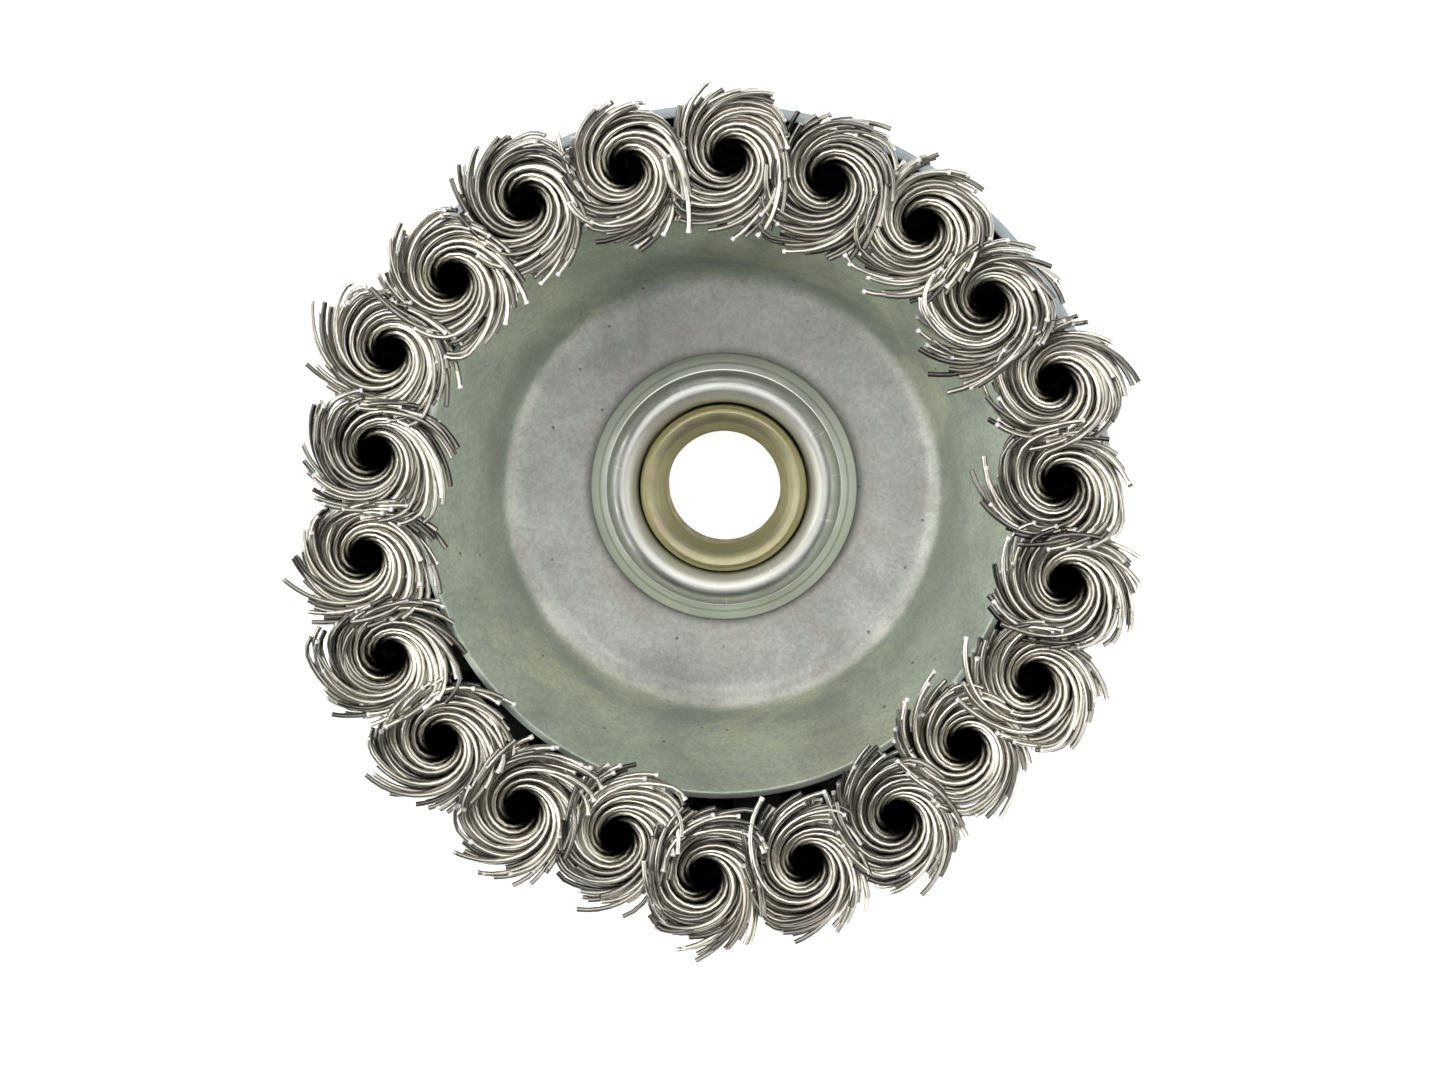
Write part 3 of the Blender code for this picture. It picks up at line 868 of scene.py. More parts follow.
def turning_group(name):
    """Turning marks: fine rings round the Z axis, uneven from ring to ring."""
    f = EffectNodes(name, {"Pitch": 0.15 * MM}, ("Lines", "Radius"))
    given = f.given()
    height, radius, angle = f.around_axis(given["Vector"])
    along = radius + height * 0.73
    lines = f.noise(f.vector(along / given["Pitch"], angle * 0.35, 0.0))
    f.add("NodeGroupOutput", {"Lines": lines, "Radius": radius})
    return f.tree


def smudges_group(name):
    """Stains and smudges: a soft mask with broken edges."""
    inputs = {"Size": 12 * MM, "Low": 0.52, "High": 0.66, "Shift": (0.0, 0.0, 0.0)}
    f = EffectNodes(name, inputs, ("Mask",))
    given = f.given()
    moved = f.field("ShaderNodeVectorMath", {0: given["Vector"], 1: given["Shift"]})
    noise = f.noise(moved, 1.0 / given["Size"], detail=6.0, roughness=0.62, distortion=0.6)
    f.add("NodeGroupOutput", {"Mask": f.smooth(noise, given["Low"], given["High"])})
    return f.tree


def scuffs_group(name):
    """Handling marks: short fine scratches that cross in three directions, and specks."""
    f = EffectNodes(name, {"Length": 4 * MM, "Width": 0.25 * MM}, ("Mask",))
    given = f.given()
    scratches = None
    for degrees in (17, 74, 136):
        turned_to = f.field(
            "ShaderNodeVectorRotate",
            {"Vector": given["Vector"], "Angle": math.radians(degrees)},
            rotation_type="Z_AXIS",
        )
        x, y, _ = f.split(turned_to)
        noise = f.noise(
            f.vector(x / given["Length"], y / given["Width"], float(degrees)), detail=1.0
        )
        lines = f.smooth(noise, 0.60, 0.74)
        scratches = f.higher(scratches, lines) if scratches else lines
    specks = f.smooth(f.noise(given["Vector"], 0.45 / given["Width"]), 0.66, 0.76)
    f.add("NodeGroupOutput", {"Mask": f.higher(scratches * 0.7, specks)})
    return f.tree


def specks_group(name):
    """Dark specks: small round spots, far apart."""
    f = EffectNodes(name, {"Spacing": 3.5 * MM, "Share": 0.08}, ("Mask",))
    given = f.given()
    distance = f.field(
        "ShaderNodeTexVoronoi",
        {"Vector": given["Vector"], "Scale": 1.0 / given["Spacing"]},
        output="Distance",
    )
    mask = f.fading(distance, given["Share"] * 0.5, given["Share"])
    f.add("NodeGroupOutput", {"Mask": mask})
    return f.tree


def ticks_group(name):
    """Fine marks that run outwards from the Z axis."""
    f = EffectNodes(name, {"Turns": 28.0, "Length": 3 * MM}, ("Mask",))
    given = f.given()
    _, radius, angle = f.around_axis(given["Vector"])
    noise = f.noise(
        f.vector(angle * given["Turns"], radius / given["Length"], 0.0), detail=1.0
    )
    f.add("NodeGroupOutput", {"Mask": f.smooth(noise, 0.66, 0.74)})
    return f.tree


EFFECTS = {
    "plating mottle": mottle_group,
    "turning marks": turning_group,
    "smudges": smudges_group,
    "scuffs": scuffs_group,
    "specks": specks_group,
    "radial ticks": ticks_group,
}


class Finish(Nodes):
    """A Principled material under construction."""

    def __init__(self, name):
        self.material = bpy.data.materials.new(name)
        self.material.use_nodes = True
        super().__init__(self.material.node_tree)
        self.place = self.field("ShaderNodeTexCoord", output="Object")

    def effect(self, name, inputs=None):
        """Fields of a shared effect, whose group is made when it is first used."""
        tree = bpy.data.node_groups.get(name) or EFFECTS[name](name)
        inputs = {"Vector": self.place, **(inputs or {})}
        node = self.add("ShaderNodeGroup", inputs, node_tree=tree)
        return {socket.name: Field(self, socket) for socket in node.outputs}

    def smudge(self, size, shift=(0.0, 0.0, 0.0), low=0.52, high=0.66):
        """A mask of smudges; shift picks other smudges of the same kind."""
        inputs = {"Size": size, "Shift": shift, "Low": low, "High": high}
        return self.effect("smudges", inputs)["Mask"]

    def mark(self, name):
        """A field that the piece's mesh carries under this name."""
        return self.field("ShaderNodeAttribute", output="Fac", attribute_name=name)

    def blend(self, share, a, b):
        """Mix two colours by a mask."""
        node = self.add("ShaderNodeMix", {0: share}, data_type="RGBA")
        for socket, value in ((node.inputs[6], a), (node.inputs[7], b)):
            self.put(socket, value if isinstance(value, Field) else (*value, 1.0))
        return Field(self, node.outputs[2])

    def scaled(self, colour, factor):
        """A colour times a field."""
        return self.field(
            "ShaderNodeVectorMath", {0: colour, "Scale": factor}, operation="SCALE"
        )

    def finished(self, colour, metallic, roughness, height, strength, distance):
        """The material with its surface; strength and distance are the bump's."""
        shader = self.tree.nodes["Principled BSDF"]
        normal = self.field(
            "ShaderNodeBump", {"Height": height, "Strength": strength, "Distance": distance}
        )
        for name, value in (
            ("Base Color", colour),
            ("Metallic", metallic),
            ("Roughness", roughness),
            ("Normal", normal),
        ):
            self.put(shader.inputs[name], value)
        return self.material


def darker(colour, share):
    return tuple(channel * share for channel in colour)


# Colours of stains, casts and wear, and of painted light and shade
CUP_INSIDE_SHADE = (0.045, 0.045, 0.045)
CONTACT_SHADE = (0.07, 0.065, 0.06)
UNLIT = (0.012, 0.011, 0.010)
SPECK = (0.10, 0.09, 0.08)
GREY_SMUDGE = (0.27, 0.27, 0.27)
BLUE_SMUDGE = (0.33, 0.34, 0.36)
BROWN_STAIN = (0.46, 0.40, 0.37)
RUSTY_STAIN = (0.40, 0.33, 0.28)
WARM_STAIN = (0.42, 0.34, 0.25)
YELLOW_TINT_AND_SHEEN = (0.88, 0.90, 0.68)
PINK_CAST = (0.58, 0.40, 0.34)
GREEN_CAST = (0.42, 0.47, 0.27)
SILVER_GREEN_CAST = (0.56, 0.62, 0.52)
FOLD_PAINTED_HIGHLIGHT = (1.0, 1.0, 0.90)
SCRAPED = (1.0, 1.0, 0.95)
FOLD_PAINTED_GLOW = (0.95, 0.95, 0.88)
RIM_PAINTED_HIGHLIGHT = (0.92, 0.97, 0.92)
PALE_FOOT = (0.90, 0.93, 0.83)
INNER_BEAD_PAINTED_LIGHT = (0.86, 0.85, 0.71)
GROOVE_SHADE = (0.16, 0.17, 0.14)
LIP_PAINTED_HIGHLIGHT = (0.68, 0.60, 0.27)
BORE_PAINTED_LIGHT = (0.70, 0.64, 0.40)

# Where marks lie, as radii. A step has its start and end, a line its centre, half its
# width and its softness
DISH_RING_STAIN = (16 * MM, 21.5 * MM)
DISH_CONTACT = (15.8 * MM, 17.4 * MM)
DISH_WALL_START = (25.4 * MM, 26.5 * MM)
DISH_WALL_SHADE = (27.5 * MM, 30.5 * MM)
DISH_RIM = (35.2 * MM, 35.6 * MM)
DISH_FOLD_PAINTED_GLOW = (25.0 * MM, 0.7 * MM, 1.2 * MM)
DISH_FOLD_PAINTED_LINE = (25.7 * MM, 0.6 * MM, 0.5 * MM)
# The fold's painted highlight runs a little off centre and fades away on its north side
DISH_LINE_SHIFT = (0.2 * MM, 0.5 * MM, 0.0)
DISH_LINE_NORTH_FADE = (15 * MM, 24 * MM)
RING_INNER_SIDE = (11.4 * MM, 12.2 * MM)
RING_FOOT = (14.0 * MM, 14.4 * MM)
RING_GROOVE = (15.0 * MM, 0.12 * MM, 0.12 * MM)
NUT_BORE = (7.9 * MM, 8.1 * MM)
NUT_LIP = (9.6 * MM, 0.3 * MM, 0.3 * MM)
# The painted shade inside the cup starts this far below the rim and ends this far within the wall
SHELL_SHADE_DEPTH = (2 * MM, 9 * MM)
SHELL_SHADE_EDGE = (0.2 * MM, 0.6 * MM)


def dish_material(colours):
    """Dull zinc of the inner dish: pale floor, green-grey wall, stains, painted shade low on the
    wall, and painted highlights on the fold and the rim.
    """
    f = Finish("dull zinc, stained")
    mottle = f.effect("plating mottle", {"Cloud Size": 10 * MM})
    rings = f.effect("turning marks", {"Pitch": 0.22 * MM})
    radius = rings["Radius"]
    off_centre = f.field("ShaderNodeVectorMath", {0: f.place, 1: DISH_LINE_SHIFT})
    from_line = f.effect("turning marks", {"Vector": off_centre})["Radius"]

    on_wall = f.smooth(from_line, *DISH_WALL_START)
    on_floor = 1.0 - on_wall
    toned = f.blend(on_wall, tuple(colours.worn_zinc), tuple(colours.dull_zinc))
    shaded = f.fading(radius, *DISH_WALL_SHADE)
    toned = f.scaled(toned, 1.0 - shaded * on_wall * 0.22)

    # Painted highlight along the fold: a soft bright band and a brighter line, uneven with the
    # mottle
    painted_glow = f.band(from_line, *DISH_FOLD_PAINTED_GLOW)
    toned = f.blend(painted_glow * 0.40, toned, FOLD_PAINTED_GLOW)
    north = f.split(f.place)[1]
    line = f.band(from_line, *DISH_FOLD_PAINTED_LINE)
    line = line * (1.0 - f.smooth(north, *DISH_LINE_NORTH_FADE) * 0.85)
    line = line * f.mix(0.7, 1.0, mottle["Tone"])
    toned = f.blend(line, toned, FOLD_PAINTED_HIGHLIGHT)
    painted_fold_light = f.higher(line, painted_glow * 0.7)

    scuffs = f.effect("scuffs")["Mask"]
    toned = f.scaled(toned, 1.0 - scuffs * on_floor * 0.18)
    toned = f.scaled(toned, f.mix(0.84, 1.10, mottle["Tone"]))
    # Pale yellow patches on the wall: partly a yellow tint of the zinc, partly painted reflection
    yellow = f.smudge(24 * MM, (0.02, 0.5, 0.3), low=0.48, high=0.60)
    toned = f.blend(yellow * on_wall * 0.50, toned, YELLOW_TINT_AND_SHEEN)
    grey = f.smudge(16 * MM, (0.3, 0.1, 0.0))
    toned = f.blend(grey * 0.25, toned, GREY_SMUDGE)
    brown = f.smudge(7 * MM, (0.7, 0.4, 0.2), low=0.48, high=0.62)
    toned = f.blend(brown * on_floor * 0.30, toned, BROWN_STAIN)
    toned = f.blend(f.fading(radius, *DISH_RING_STAIN) * 0.28, toned, RUSTY_STAIN)
    toned = f.blend(f.fading(radius, *DISH_CONTACT) * 0.6, toned, CONTACT_SHADE)
    toned = f.scaled(toned, f.mix(0.86, 1.08, mottle["Fine"]))
    toned = f.blend(f.effect("specks")["Mask"] * 0.7, toned, SPECK)
    # Painted highlight along the rim's edge
    toned = f.blend(f.smooth(radius, *DISH_RIM) * 0.6, toned, RIM_PAINTED_HIGHLIGHT)

    # Where the fold's highlight is painted, the zinc is not metallic
    metallic = (1.0 - painted_fold_light) * 0.45
    rough = mottle["Tone"] * 0.08 + grey * 0.10 + 0.44
    height = mottle["Height"] + rings["Lines"] * 0.5
    return f.finished(toned, metallic, rough, height, strength=0.25, distance=0.1 * MM)


def shell_material(colours):
    """Pale blue zinc of the outer cup, with painted shade inside it."""
    f = Finish("blue zinc")
    base = tuple(colours.blue_zinc)
    mottle = f.effect("plating mottle", {"Cloud Size": 12 * MM})
    rings = f.effect("turning marks", {"Pitch": 0.35 * MM})
    smudge = f.smudge(14 * MM)
    toned = f.blend(mottle["Tone"], darker(base, 0.95), darker(base, 1.04))
    toned = f.blend(smudge * 0.18, toned, BLUE_SMUDGE)
    below_rim = SHELL_HIGH[2] - f.split(f.place)[2]
    inside = SHELL_HIGH[0] - stack().shell_wall
    start, end = SHELL_SHADE_EDGE
    within = f.fading(rings["Radius"], inside + start, inside + end)
    # Painted shade: the inside of the cup goes near black below the rim
    painted_inside_shade = f.smooth(below_rim, *SHELL_SHADE_DEPTH) * within
    toned = f.blend(painted_inside_shade * 0.9, toned, CUP_INSIDE_SHADE)
    rough = smudge * 0.14 + 0.46
    height = mottle["Height"] + rings["Lines"]
    return f.finished(toned, 0.4, rough, height, strength=0.2, distance=0.1 * MM)


def ring_material(colours):
    """Bright turned ring with a paler foot, painted light on the bead's inner side, fine marks
    and a faint cast of colour.
    """
    f = Finish("bright zinc, turned")
    base = tuple(colours.bright_zinc)
    mottle = f.effect("plating mottle", {"Cloud Size": 4 * MM})
    rings = f.effect("turning marks", {"Pitch": 0.12 * MM})
    radius = rings["Radius"]
    cast = f.smudge(6 * MM, (0.1, 0.7, 0.0), low=0.42, high=0.62)
    toned = f.blend(mottle["Tone"], darker(base, 0.9), base)
    toned = f.blend(cast * 0.35, toned, SILVER_GREEN_CAST)
    toned = f.blend(f.smooth(radius, *RING_FOOT) * 0.62, toned, PALE_FOOT)
    # Painted light on the bead's inner side, which lies in shade by the nut; it is also less
    # metallic there
    inner = f.fading(radius, *RING_INNER_SIDE)
    toned = f.blend(inner * 0.60, toned, INNER_BEAD_PAINTED_LIGHT)
    toned = f.blend(f.effect("radial ticks")["Mask"] * 0.45, toned, SCRAPED)
    toned = f.blend(f.band(radius, *RING_GROOVE) * 0.45, toned, GROOVE_SHADE)
    metallic = 0.9 - inner * 0.5
    rough = mottle["Tone"] * 0.10 + 0.28
    height = rings["Lines"] + mottle["Height"] * 0.5
    return f.finished(toned, metallic, rough, height, strength=0.22, distance=0.08 * MM)


def nut_material(colours):
    """Yellow chromated zinc with pink and green casts, a painted highlight on its lip and painted
    light in its bore.
    """
    f = Finish("yellow zinc")
    base = tuple(colours.yellow_zinc)
    mottle = f.effect("plating mottle", {"Cloud Size": 3 * MM})
    rings = f.effect("turning marks", {"Pitch": 0.16 * MM})
    pink = f.smudge(5 * MM, (0.9, 0.2, 0.4), low=0.44, high=0.64)
    green = f.smudge(6 * MM, (0.2, 0.6, 0.1), low=0.46, high=0.66)
    toned = f.blend(mottle["Tone"], darker(base, 0.82), base)
    toned = f.blend(pink * 0.45, toned, PINK_CAST)
    toned = f.blend(green * 0.40, toned, GREEN_CAST)
    # Painted highlight: a brighter yellow band round the lip
    toned = f.blend(f.band(rings["Radius"], *NUT_LIP) * 0.6, toned, LIP_PAINTED_HIGHLIGHT)
    # Painted light: the bore and its countersink are a lighter yellow
    toned = f.blend(f.fading(rings["Radius"], *NUT_BORE) * 0.60, toned, BORE_PAINTED_LIGHT)
    rough = mottle["Fine"] * 0.10 + 0.38
    height = rings["Lines"] + mottle["Height"] * 0.4
    return f.finished(toned, 0.8, rough, height, strength=0.18, distance=0.06 * MM)


def plate_material(colours):
    """Plain pressed steel in painted shade: near black, with a grain."""
    f = Finish("plate steel")
    base = tuple(colours.plate_steel)
    mottle = f.effect("plating mottle", {"Cloud Size": 6 * MM})
    toned = f.blend(mottle["Tone"], darker(base, 0.7), base)
    rough = mottle["Fine"] * 0.16 + 0.42
    return f.finished(toned, 0.9, rough, mottle["Height"], strength=0.25, distance=0.1 * MM)


def wire_material(colours):
    """Drawn steel wire: each wire has its own tone, with painted light round the mouth and
    painted shade below it, and its cut end is bright.
    """
    f = Finish("drawn steel wire")
    tone, flare, covered = f.mark("tone"), f.mark("flare"), f.mark("covered")
    mottle = f.effect("plating mottle", {"Cloud Size": 2.5 * MM})

    # Painted light: the wires are lighter round the mouth than towards the tips, most of all the
    # uncovered ones
    mouth_painted_light = f.fading(flare, 0.40, 1.0) * (1.0 - covered * 0.45)
    toned = f.blend(
        tone * 0.82 + mouth_painted_light * 0.42 - 0.03, tuple(colours.dark_wire), tuple(colours.light_wire)
    )
    # Partly dirt, partly painted shade: the covered layers are darker inside the flare, under the
    # top wires
    lower_layers = f.math("MULTIPLY", covered, 2.5, clamp=True)
    shade_and_dirt_beneath = lower_layers * f.fading(flare, 0.35, 0.85)
    toned = f.scaled(toned, 1.0 - shade_and_dirt_beneath * 0.80)
    toned = f.blend(f.smudge(6 * MM) * 0.22, toned, WARM_STAIN)
    toned = f.scaled(toned, f.mix(0.85, 1.05, mottle["Tone"]))
    toned = f.blend(f.mark("throat"), toned, UNLIT)

    # Only the lighter wires show a fresh cut, on the last bit of the flare
    cut = f.above(flare, 0.984) * f.smooth(tone, 0.45, 0.85)
    toned = f.blend(cut, toned, tuple(colours.cut_end))
    metallic = 1.0 - cut * 0.75
    rough = mottle["Fine"] * 0.08 + 0.27 + cut * 0.25
    return f.finished(
        toned, metallic, rough, mottle["Height"], strength=0.07, distance=0.03 * MM
    )


FLOOR_GLOW = 0.88


def floor_material(colours):
    """A pale floor that reads as white and keeps the brush's shadow."""
    material = bpy.data.materials.new("studio white")
    material.use_nodes = True
    f = Nodes(material.node_tree)
    shader = material.node_tree.nodes["Principled BSDF"]
    shader.inputs["Base Color"].default_value = (*colours.floor, 1.0)
    shader.inputs["Roughness"].default_value = 0.9
    shader.inputs["Specular IOR Level"].default_value = 0.0
    shader.inputs["Emission Color"].default_value = (1.0, 1.0, 1.0, 1.0)
    rays = f.add("ShaderNodeLightPath").outputs
    camera, glossy, through = (
        Field(f, rays[f"Is {kind} Ray"]) for kind in ("Camera", "Glossy", "Transmission")
    )
    seen = f.higher(f.higher(camera, glossy), through)
    f.put(shader.inputs["Emission Strength"], seen * FLOOR_GLOW)
    return material


# Operators

HEX_CHAMFER_ROWS = 8
THREAD_ROWS_PER_TURN = 18
# Where the thread's flank starts and how long it is, as shares of half a pitch
THREAD_FLANK_START = 0.25
THREAD_FLANK = 0.62
# Share of a pitch at the bore's mouth that stays plain
THREAD_RUNOUT = 0.2
# Less than this is the same place
TOUCH = 0.001 * MM

SKIRT_ROWS = 6
SHELL_EDGE = 0.3 * MM
DISH_EDGE = 0.28 * MM
# Roundings of the ring's foot, its upper edge and its shelf
RING_ROUNDINGS = {1: 0.1 * MM, 2: 0.25 * MM, 3: 0.22 * MM}

ROOT_CLEARANCE = 0.3 * MM
FLARE_SEGMENTS = 19
SEEDS_PER_KNOT = 1000
# Every other knot stands a little higher
KNOT_RISE = 0.35 * MM


def stack():
    return bpy.context.scene.cup_brush_stack


def knots():
    return bpy.context.scene.cup_brush_knots


def colours():
    return bpy.context.scene.cup_brush_finishes


class OBJECT_OT_cup_brush_nut(bpy.types.Operator):
    """Make the yellow nut with its hexagon, shank and thread"""

    bl_idname = "object.cup_brush_nut"
    bl_label = "Nut"

    def execute(self, context):
        s = stack()
        corner = s.across_flats / math.sqrt(3)
        cut = s.hex_chamfer * math.sqrt(3)
        shares = [row / HEX_CHAMFER_ROWS for row in range(HEX_CHAMFER_ROWS + 1)]
        outline = [(s.recess_radius, 0.0)]
        outline += [(corner - cut * (1 - share), s.hex_chamfer * share) for share in shares]
        outline += [
            (corner - cut * share, s.hex_height - s.hex_chamfer * (1 - share))
            for share in shares
        ]
        outline.append((s.shank_radius, s.hex_height))
        lip_centre = (s.shank_radius - s.shank_lip, NUT_TOP - s.shank_lip)
        outline += arc(lip_centre, s.shank_lip, 0.0, math.pi / 2)
        wide = s.bore_radius + s.bore_chamfer
        low = s.recess_depth
        mouth = NUT_TOP - s.collar_dip
        rows = round((mouth - low) / (s.thread_pitch / THREAD_ROWS_PER_TURN))
        outline += [(wide, mouth + (low - mouth) * row / rows) for row in range(rows + 1)]
        outline.append((s.recess_radius, low))

        def cut_shape(radius, height, angle):
            """The hexagon outside and the right-handed thread inside."""
            if radius > s.shank_radius and height < s.hex_height + TOUCH:
                flat = (angle + math.pi / 6) % (math.pi / 3) - math.pi / 6
                return min(radius, s.across_flats / 2 / math.cos(flat))
            if abs(radius - wide) < TOUCH and height > low - TOUCH:
                phase = (height / s.thread_pitch - angle / (2 * math.pi)) % 1.0
                from_crest = abs(phase - 0.5) * 2
                groove = min(1.0, max(0.0, (from_crest - THREAD_FLANK_START) / THREAD_FLANK))
                turns_down = (mouth - height) / s.thread_pitch
                fade = min(1.0, max(0.0, turns_down - THREAD_RUNOUT))
                threaded = s.bore_radius + s.thread_depth * groove * fade
                cone = max(height - (mouth - s.bore_chamfer), low + s.bore_chamfer - height)
                return min(wide, max(threaded, s.bore_radius + cone))
            return radius

        piece = turned("nut_dressed", outline, s.facets, cut_shape)
        finish_piece(piece, nut_material(colours()), "nut")
        return {"FINISHED"}


class OBJECT_OT_cup_brush_shell(bpy.types.Operator):
    """Make the outer cup"""

    bl_idname = "object.cup_brush_shell"
    bl_label = "Outer cup"

    def execute(self, context):
        s = stack()
        floor = SHELL_LOW[2] + s.shell_wall
        inside = SHELL_HIGH[0] - s.shell_wall - s.shell_flare
        corner = s.shell_corner - s.shell_wall
        path = [(s.hub_radius, floor)]
        path += arc((inside - corner, floor + corner), corner, -math.pi / 2, 0.0)
        for row in range(1, SKIRT_ROWS + 1):
            share = row / SKIRT_ROWS
            height = floor + corner + (SHELL_HIGH[2] - floor - corner) * share
            path.append((inside + s.shell_flare * share, height))
        outline = sheet(path, s.shell_wall, SHELL_EDGE)
        piece = turned("outer_shell_dressed", outline, s.facets)
        finish_piece(piece, shell_material(colours()), "outer_shell")
        return {"FINISHED"}


class OBJECT_OT_cup_brush_dish(bpy.types.Operator):
    """Make the inner dish"""

    bl_idname = "object.cup_brush_dish"
    bl_label = "Inner dish"

    def execute(self, context):
        s = stack()
        floor = DISH_LOW[2] + s.dish_wall
        rim = Vector((s.dish_rim_radius, DISH_HIGH[2]))
        centre = (s.dish_floor_radius, floor + s.dish_corner)
        fold = s.dish_fold
        corner = arc(centre, s.dish_corner, -math.pi / 2, fold - math.pi / 2)
        foot = Vector(corner[-1])
        chord = rim - foot
        sweep = 2 * (fold - math.atan2(chord.y, chord.x))
        wall_radius = chord.length / (2 * math.sin(sweep / 2))
        wall_centre = foot + Vector((math.sin(fold), -math.cos(fold))) * wall_radius
        start = fold + math.pi / 2
        wall = arc(wall_centre, wall_radius, start, start - sweep, DISH_WALL_STEP)
        path = [(s.hub_radius, floor)] + corner + wall[1:]
        outline = sheet(path, s.dish_wall, DISH_EDGE)
        piece = turned("inner_dish_dressed", outline, s.facets)
        finish_piece(piece, dish_material(colours()), "inner_dish")
        return {"FINISHED"}


class OBJECT_OT_cup_brush_ring(bpy.types.Operator):
    """Make the clamp ring"""

    bl_idname = "object.cup_brush_ring"
    bl_label = "Clamp ring"

    def execute(self, context):
        s = stack()
        base = RING_LOW[2]
        shelf = base + s.ring_shelf_height
        bead_edge = s.hub_radius + 2 * s.ring_bead
        outline = [
            (s.hub_radius, base),
            (RING_HIGH[0], base),
            (RING_HIGH[0], base + s.ring_foot_edge),
            (bead_edge + s.ring_shelf_width, shelf),
            (bead_edge, shelf),
        ]
        outline = rounded(outline, RING_ROUNDINGS)
        flatter = (RING_HIGH[2] - shelf) / s.ring_bead
        bead_centre = (s.hub_radius + s.ring_bead, shelf)
        for radius, height in arc(bead_centre, s.ring_bead, 0.0, math.pi)[1:]:
            outline.append((radius, shelf + (height - shelf) * flatter))
        piece = turned("clamp_ring_dressed", outline, s.facets)
        finish_piece(piece, ring_material(colours()), "clamp_ring")
        return {"FINISHED"}


class OBJECT_OT_cup_brush_plate(bpy.types.Operator):
    """Give the knot plate its steel"""

    bl_idname = "object.cup_brush_plate"
    bl_label = "Knot plate"

    def execute(self, context):
        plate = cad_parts["knot_plate"]
        plate.data.materials.clear()
        plate.data.materials.append(plate_material(colours()))
        return {"FINISHED"}


class OBJECT_OT_cup_brush_knots(bpy.types.Operator):
    """Twist the 22 knots of wire"""

    bl_idname = "object.cup_brush_knots"
    bl_label = "Wire knots"

    def execute(self, context):
        k = knots()
        tree = knot_tree()
        steel = wire_material(colours())
        root_height = PLATE_TOP + ROOT_CLEARANCE
        shared = {
            name.replace("_", " ").title(): getattr(k, name)
            for name in CupBrushKnotSizes.__annotations__
        }
        shared["Finish"] = steel
        shared["Flare Segments"] = FLARE_SEGMENTS
        shared["Root Height"] = root_height
        shared["Free Height"] = SHELL_HIGH[2] - root_height
        shared["Rope Share"] = (k.rope_radius - k.throat_radius) / (INNER_LAYERS * k.layer_step)

        angles = []
        centres = []
        for index, (out, aside) in enumerate(KNOT_LEANS):
            angle = FIRST_KNOT_ANGLE + 2 * math.pi * index / KNOT_COUNT
            reach = k.circle_radius + k.splay + out * MM
            outwards = Vector((math.cos(angle), math.sin(angle)))
            sideways = Vector((-outwards.y, outwards.x))
            angles.append(angle)
            centres.append(outwards * reach + sideways * aside * MM)
        for index, (out, aside) in enumerate(KNOT_LEANS):
            here = centres[index]
            ahead = centres[(index + 1) % KNOT_COUNT]
            behind = centres[index - 1]
            own = {
                "Angle": angles[index],
                "Seed": SEEDS_PER_KNOT * (index + 1),
                "Limit Ahead": (ahead - here).length / 2 + k.overlap,
                "Limit Behind": (behind - here).length / 2 + k.overlap,
                "Lean Out": out * MM,
                "Lean Aside": aside * MM,
                "Rise": KNOT_RISE if index % 2 else -KNOT_RISE,
            }
            node = f"knot_{index + 1:02d}"
            piece = baked(f"{node}_wires", tree, {**shared, **own})
            finish_piece(piece, steel, node)
        return {"FINISHED"}


FLOOR_REACH = 6.0
SKY_COLOUR = (0.86, 0.93, 1.0, 1.0)
SKY_STRENGTH = 0.05
LAMP_TARGET = Vector((0.0, 0.0, 50 * MM))
# Name, place in metres, width in metres and power in watts
LAMPS = (
    ("key_lamp", (0.0, 0.55, 0.95), 1.1, 5.8),
    ("left_lamp", (-0.80, -0.05, 0.70), 1.0, 8.6),
    ("right_lamp", (0.80, -0.05, 0.70), 1.0, 5.4),
    ("top_lamp", (0.0, -0.05, 1.10), 0.55, 1.0),
)
# Focal length and picture width in the photo's pixels, and the camera's place in millimetres
FOCAL_PIXELS = 6132.0
PHOTO_WIDTH = 1440.0
SENSOR_WIDTH = 36.0
CAMERA_RIGHT = (0.99967925, 0.0, -0.02532572)
CAMERA_BACK = (0.02524292, 0.08079402, 0.99641112)
CAMERA_PLACE = (18.240, 53.447, 756.253)


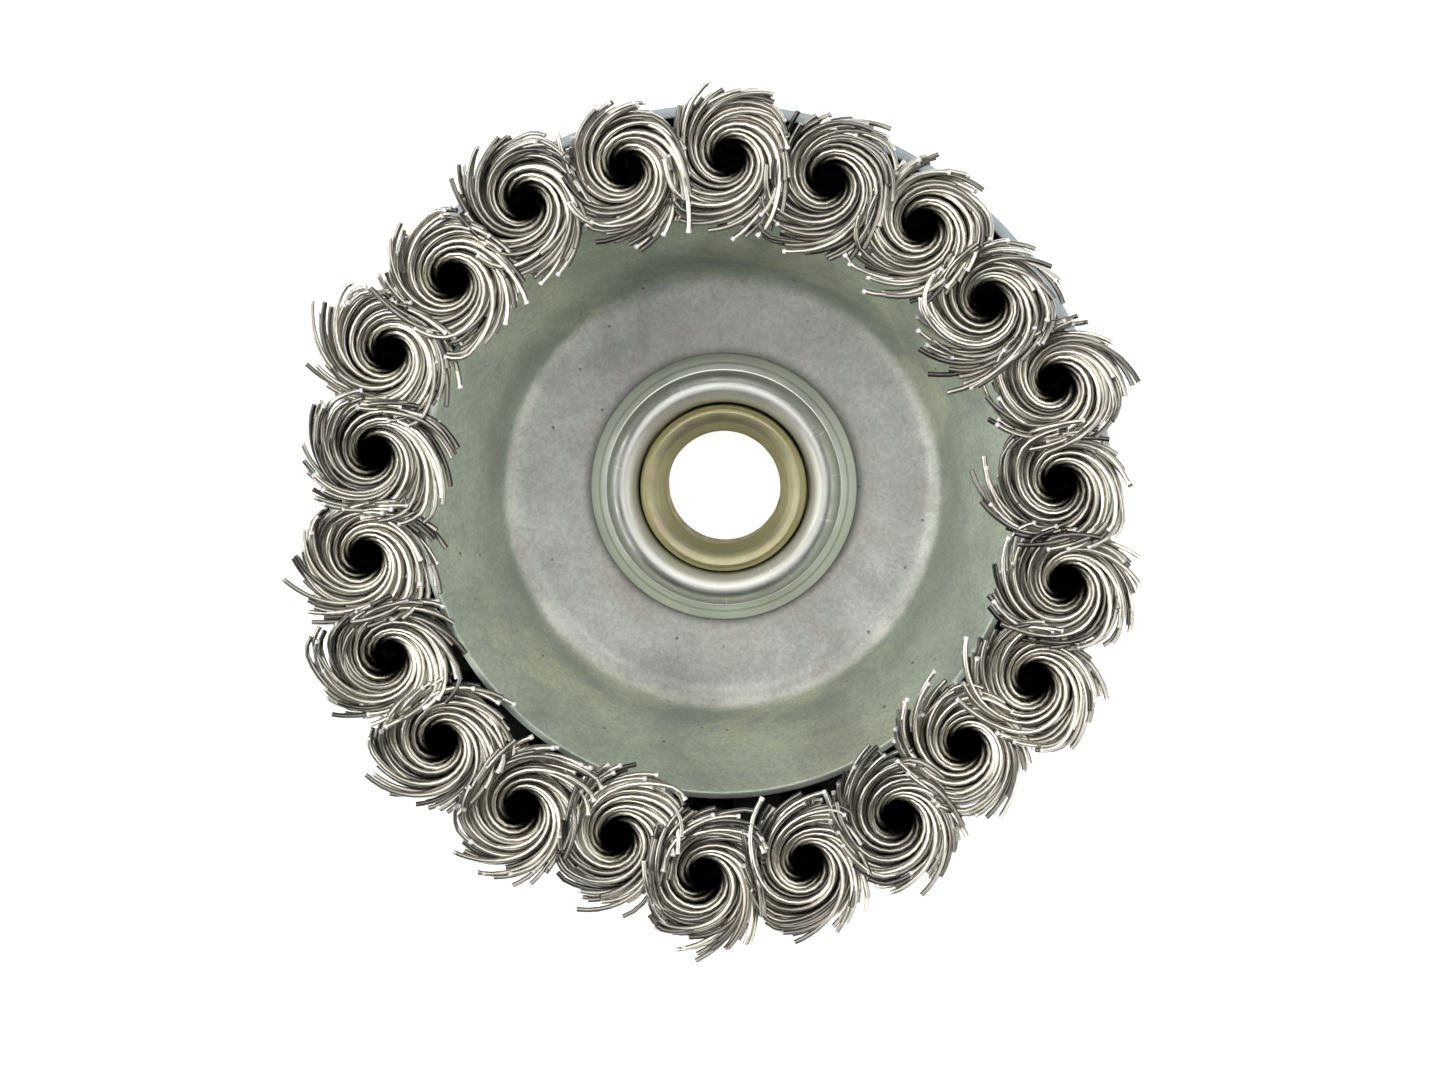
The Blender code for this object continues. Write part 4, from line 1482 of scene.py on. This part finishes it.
class OBJECT_OT_cup_brush_stage(bpy.types.Operator):
    """Set the floor, the lamps and the camera"""

    bl_idname = "object.cup_brush_stage"
    bl_label = "Studio"

    def execute(self, context):
        scene = context.scene
        scene.view_settings.view_transform = "Standard"
        mesh = bpy.data.meshes.new("studio_floor")
        corners = [(-1, -1), (1, -1), (1, 1), (-1, 1)]
        verts = [(x * FLOOR_REACH, y * FLOOR_REACH, 0.0) for x, y in corners]
        mesh.from_pydata(verts, [], [(0, 1, 2, 3)])
        mesh.materials.append(floor_material(colours()))
        floor = bpy.data.objects.new("studio_floor", mesh)
        scene.collection.objects.link(floor)

        scene.world = bpy.data.worlds.new("studio")
        scene.world.use_nodes = True
        background = scene.world.node_tree.nodes["Background"]
        background.inputs["Color"].default_value = SKY_COLOUR
        background.inputs["Strength"].default_value = SKY_STRENGTH

        for name, place, size, power in LAMPS:
            lamp = bpy.data.lights.new(name, "AREA")
            lamp.shape = "DISK"
            lamp.size = size
            lamp.energy = power
            holder = bpy.data.objects.new(name, lamp)
            holder.location = place
            aim = LAMP_TARGET - Vector(place)
            holder.rotation_euler = aim.to_track_quat("-Z", "Y").to_euler()
            scene.collection.objects.link(holder)

        lens = bpy.data.cameras.new("photo_camera")
        lens.sensor_width = SENSOR_WIDTH
        lens.lens = FOCAL_PIXELS / PHOTO_WIDTH * SENSOR_WIDTH
        right = Vector(CAMERA_RIGHT).normalized()
        back = Vector(CAMERA_BACK).normalized()
        pose = Matrix((right, back.cross(right), back)).transposed().to_4x4()
        pose.translation = Vector(CAMERA_PLACE) * MM
        camera = bpy.data.objects.new("photo_camera", lens)
        camera.matrix_world = pose
        scene.collection.objects.link(camera)
        scene.camera = camera
        return {"FINISHED"}


class VIEW3D_PT_cup_brush(bpy.types.Panel):
    """Lists the steps that dress the brush"""

    bl_label = "Wire cup brush"
    bl_space_type = "VIEW_3D"
    bl_region_type = "UI"
    bl_category = "Cup Brush"

    def draw(self, context):
        for operator in OPERATORS:
            self.layout.operator(operator.bl_idname)
        for group in (stack(), knots(), colours()):
            box = self.layout.box()
            for name in group.__annotations__:
                box.prop(group, name)


OPERATORS = (
    OBJECT_OT_cup_brush_nut,
    OBJECT_OT_cup_brush_shell,
    OBJECT_OT_cup_brush_dish,
    OBJECT_OT_cup_brush_ring,
    OBJECT_OT_cup_brush_plate,
    OBJECT_OT_cup_brush_knots,
    OBJECT_OT_cup_brush_stage,
)
GROUPS = {
    "cup_brush_stack": CupBrushStackSizes,
    "cup_brush_knots": CupBrushKnotSizes,
    "cup_brush_finishes": CupBrushFinishes,
}


def register():
    for name, group in GROUPS.items():
        bpy.utils.register_class(group)
        setattr(bpy.types.Scene, name, PointerProperty(type=group))
    for operator in OPERATORS:
        bpy.utils.register_class(operator)
    bpy.utils.register_class(VIEW3D_PT_cup_brush)


def unregister():
    bpy.utils.unregister_class(VIEW3D_PT_cup_brush)
    for operator in reversed(OPERATORS):
        bpy.utils.unregister_class(operator)
    for name, group in GROUPS.items():
        delattr(bpy.types.Scene, name)
        bpy.utils.unregister_class(group)


def main():
    """Dress the brush and set the studio."""
    register()
    bpy.ops.object.cup_brush_nut()
    bpy.ops.object.cup_brush_shell()
    bpy.ops.object.cup_brush_dish()
    bpy.ops.object.cup_brush_ring()
    bpy.ops.object.cup_brush_plate()
    bpy.ops.object.cup_brush_knots()
    bpy.ops.object.cup_brush_stage()


if __name__ == "__main__":
    main()
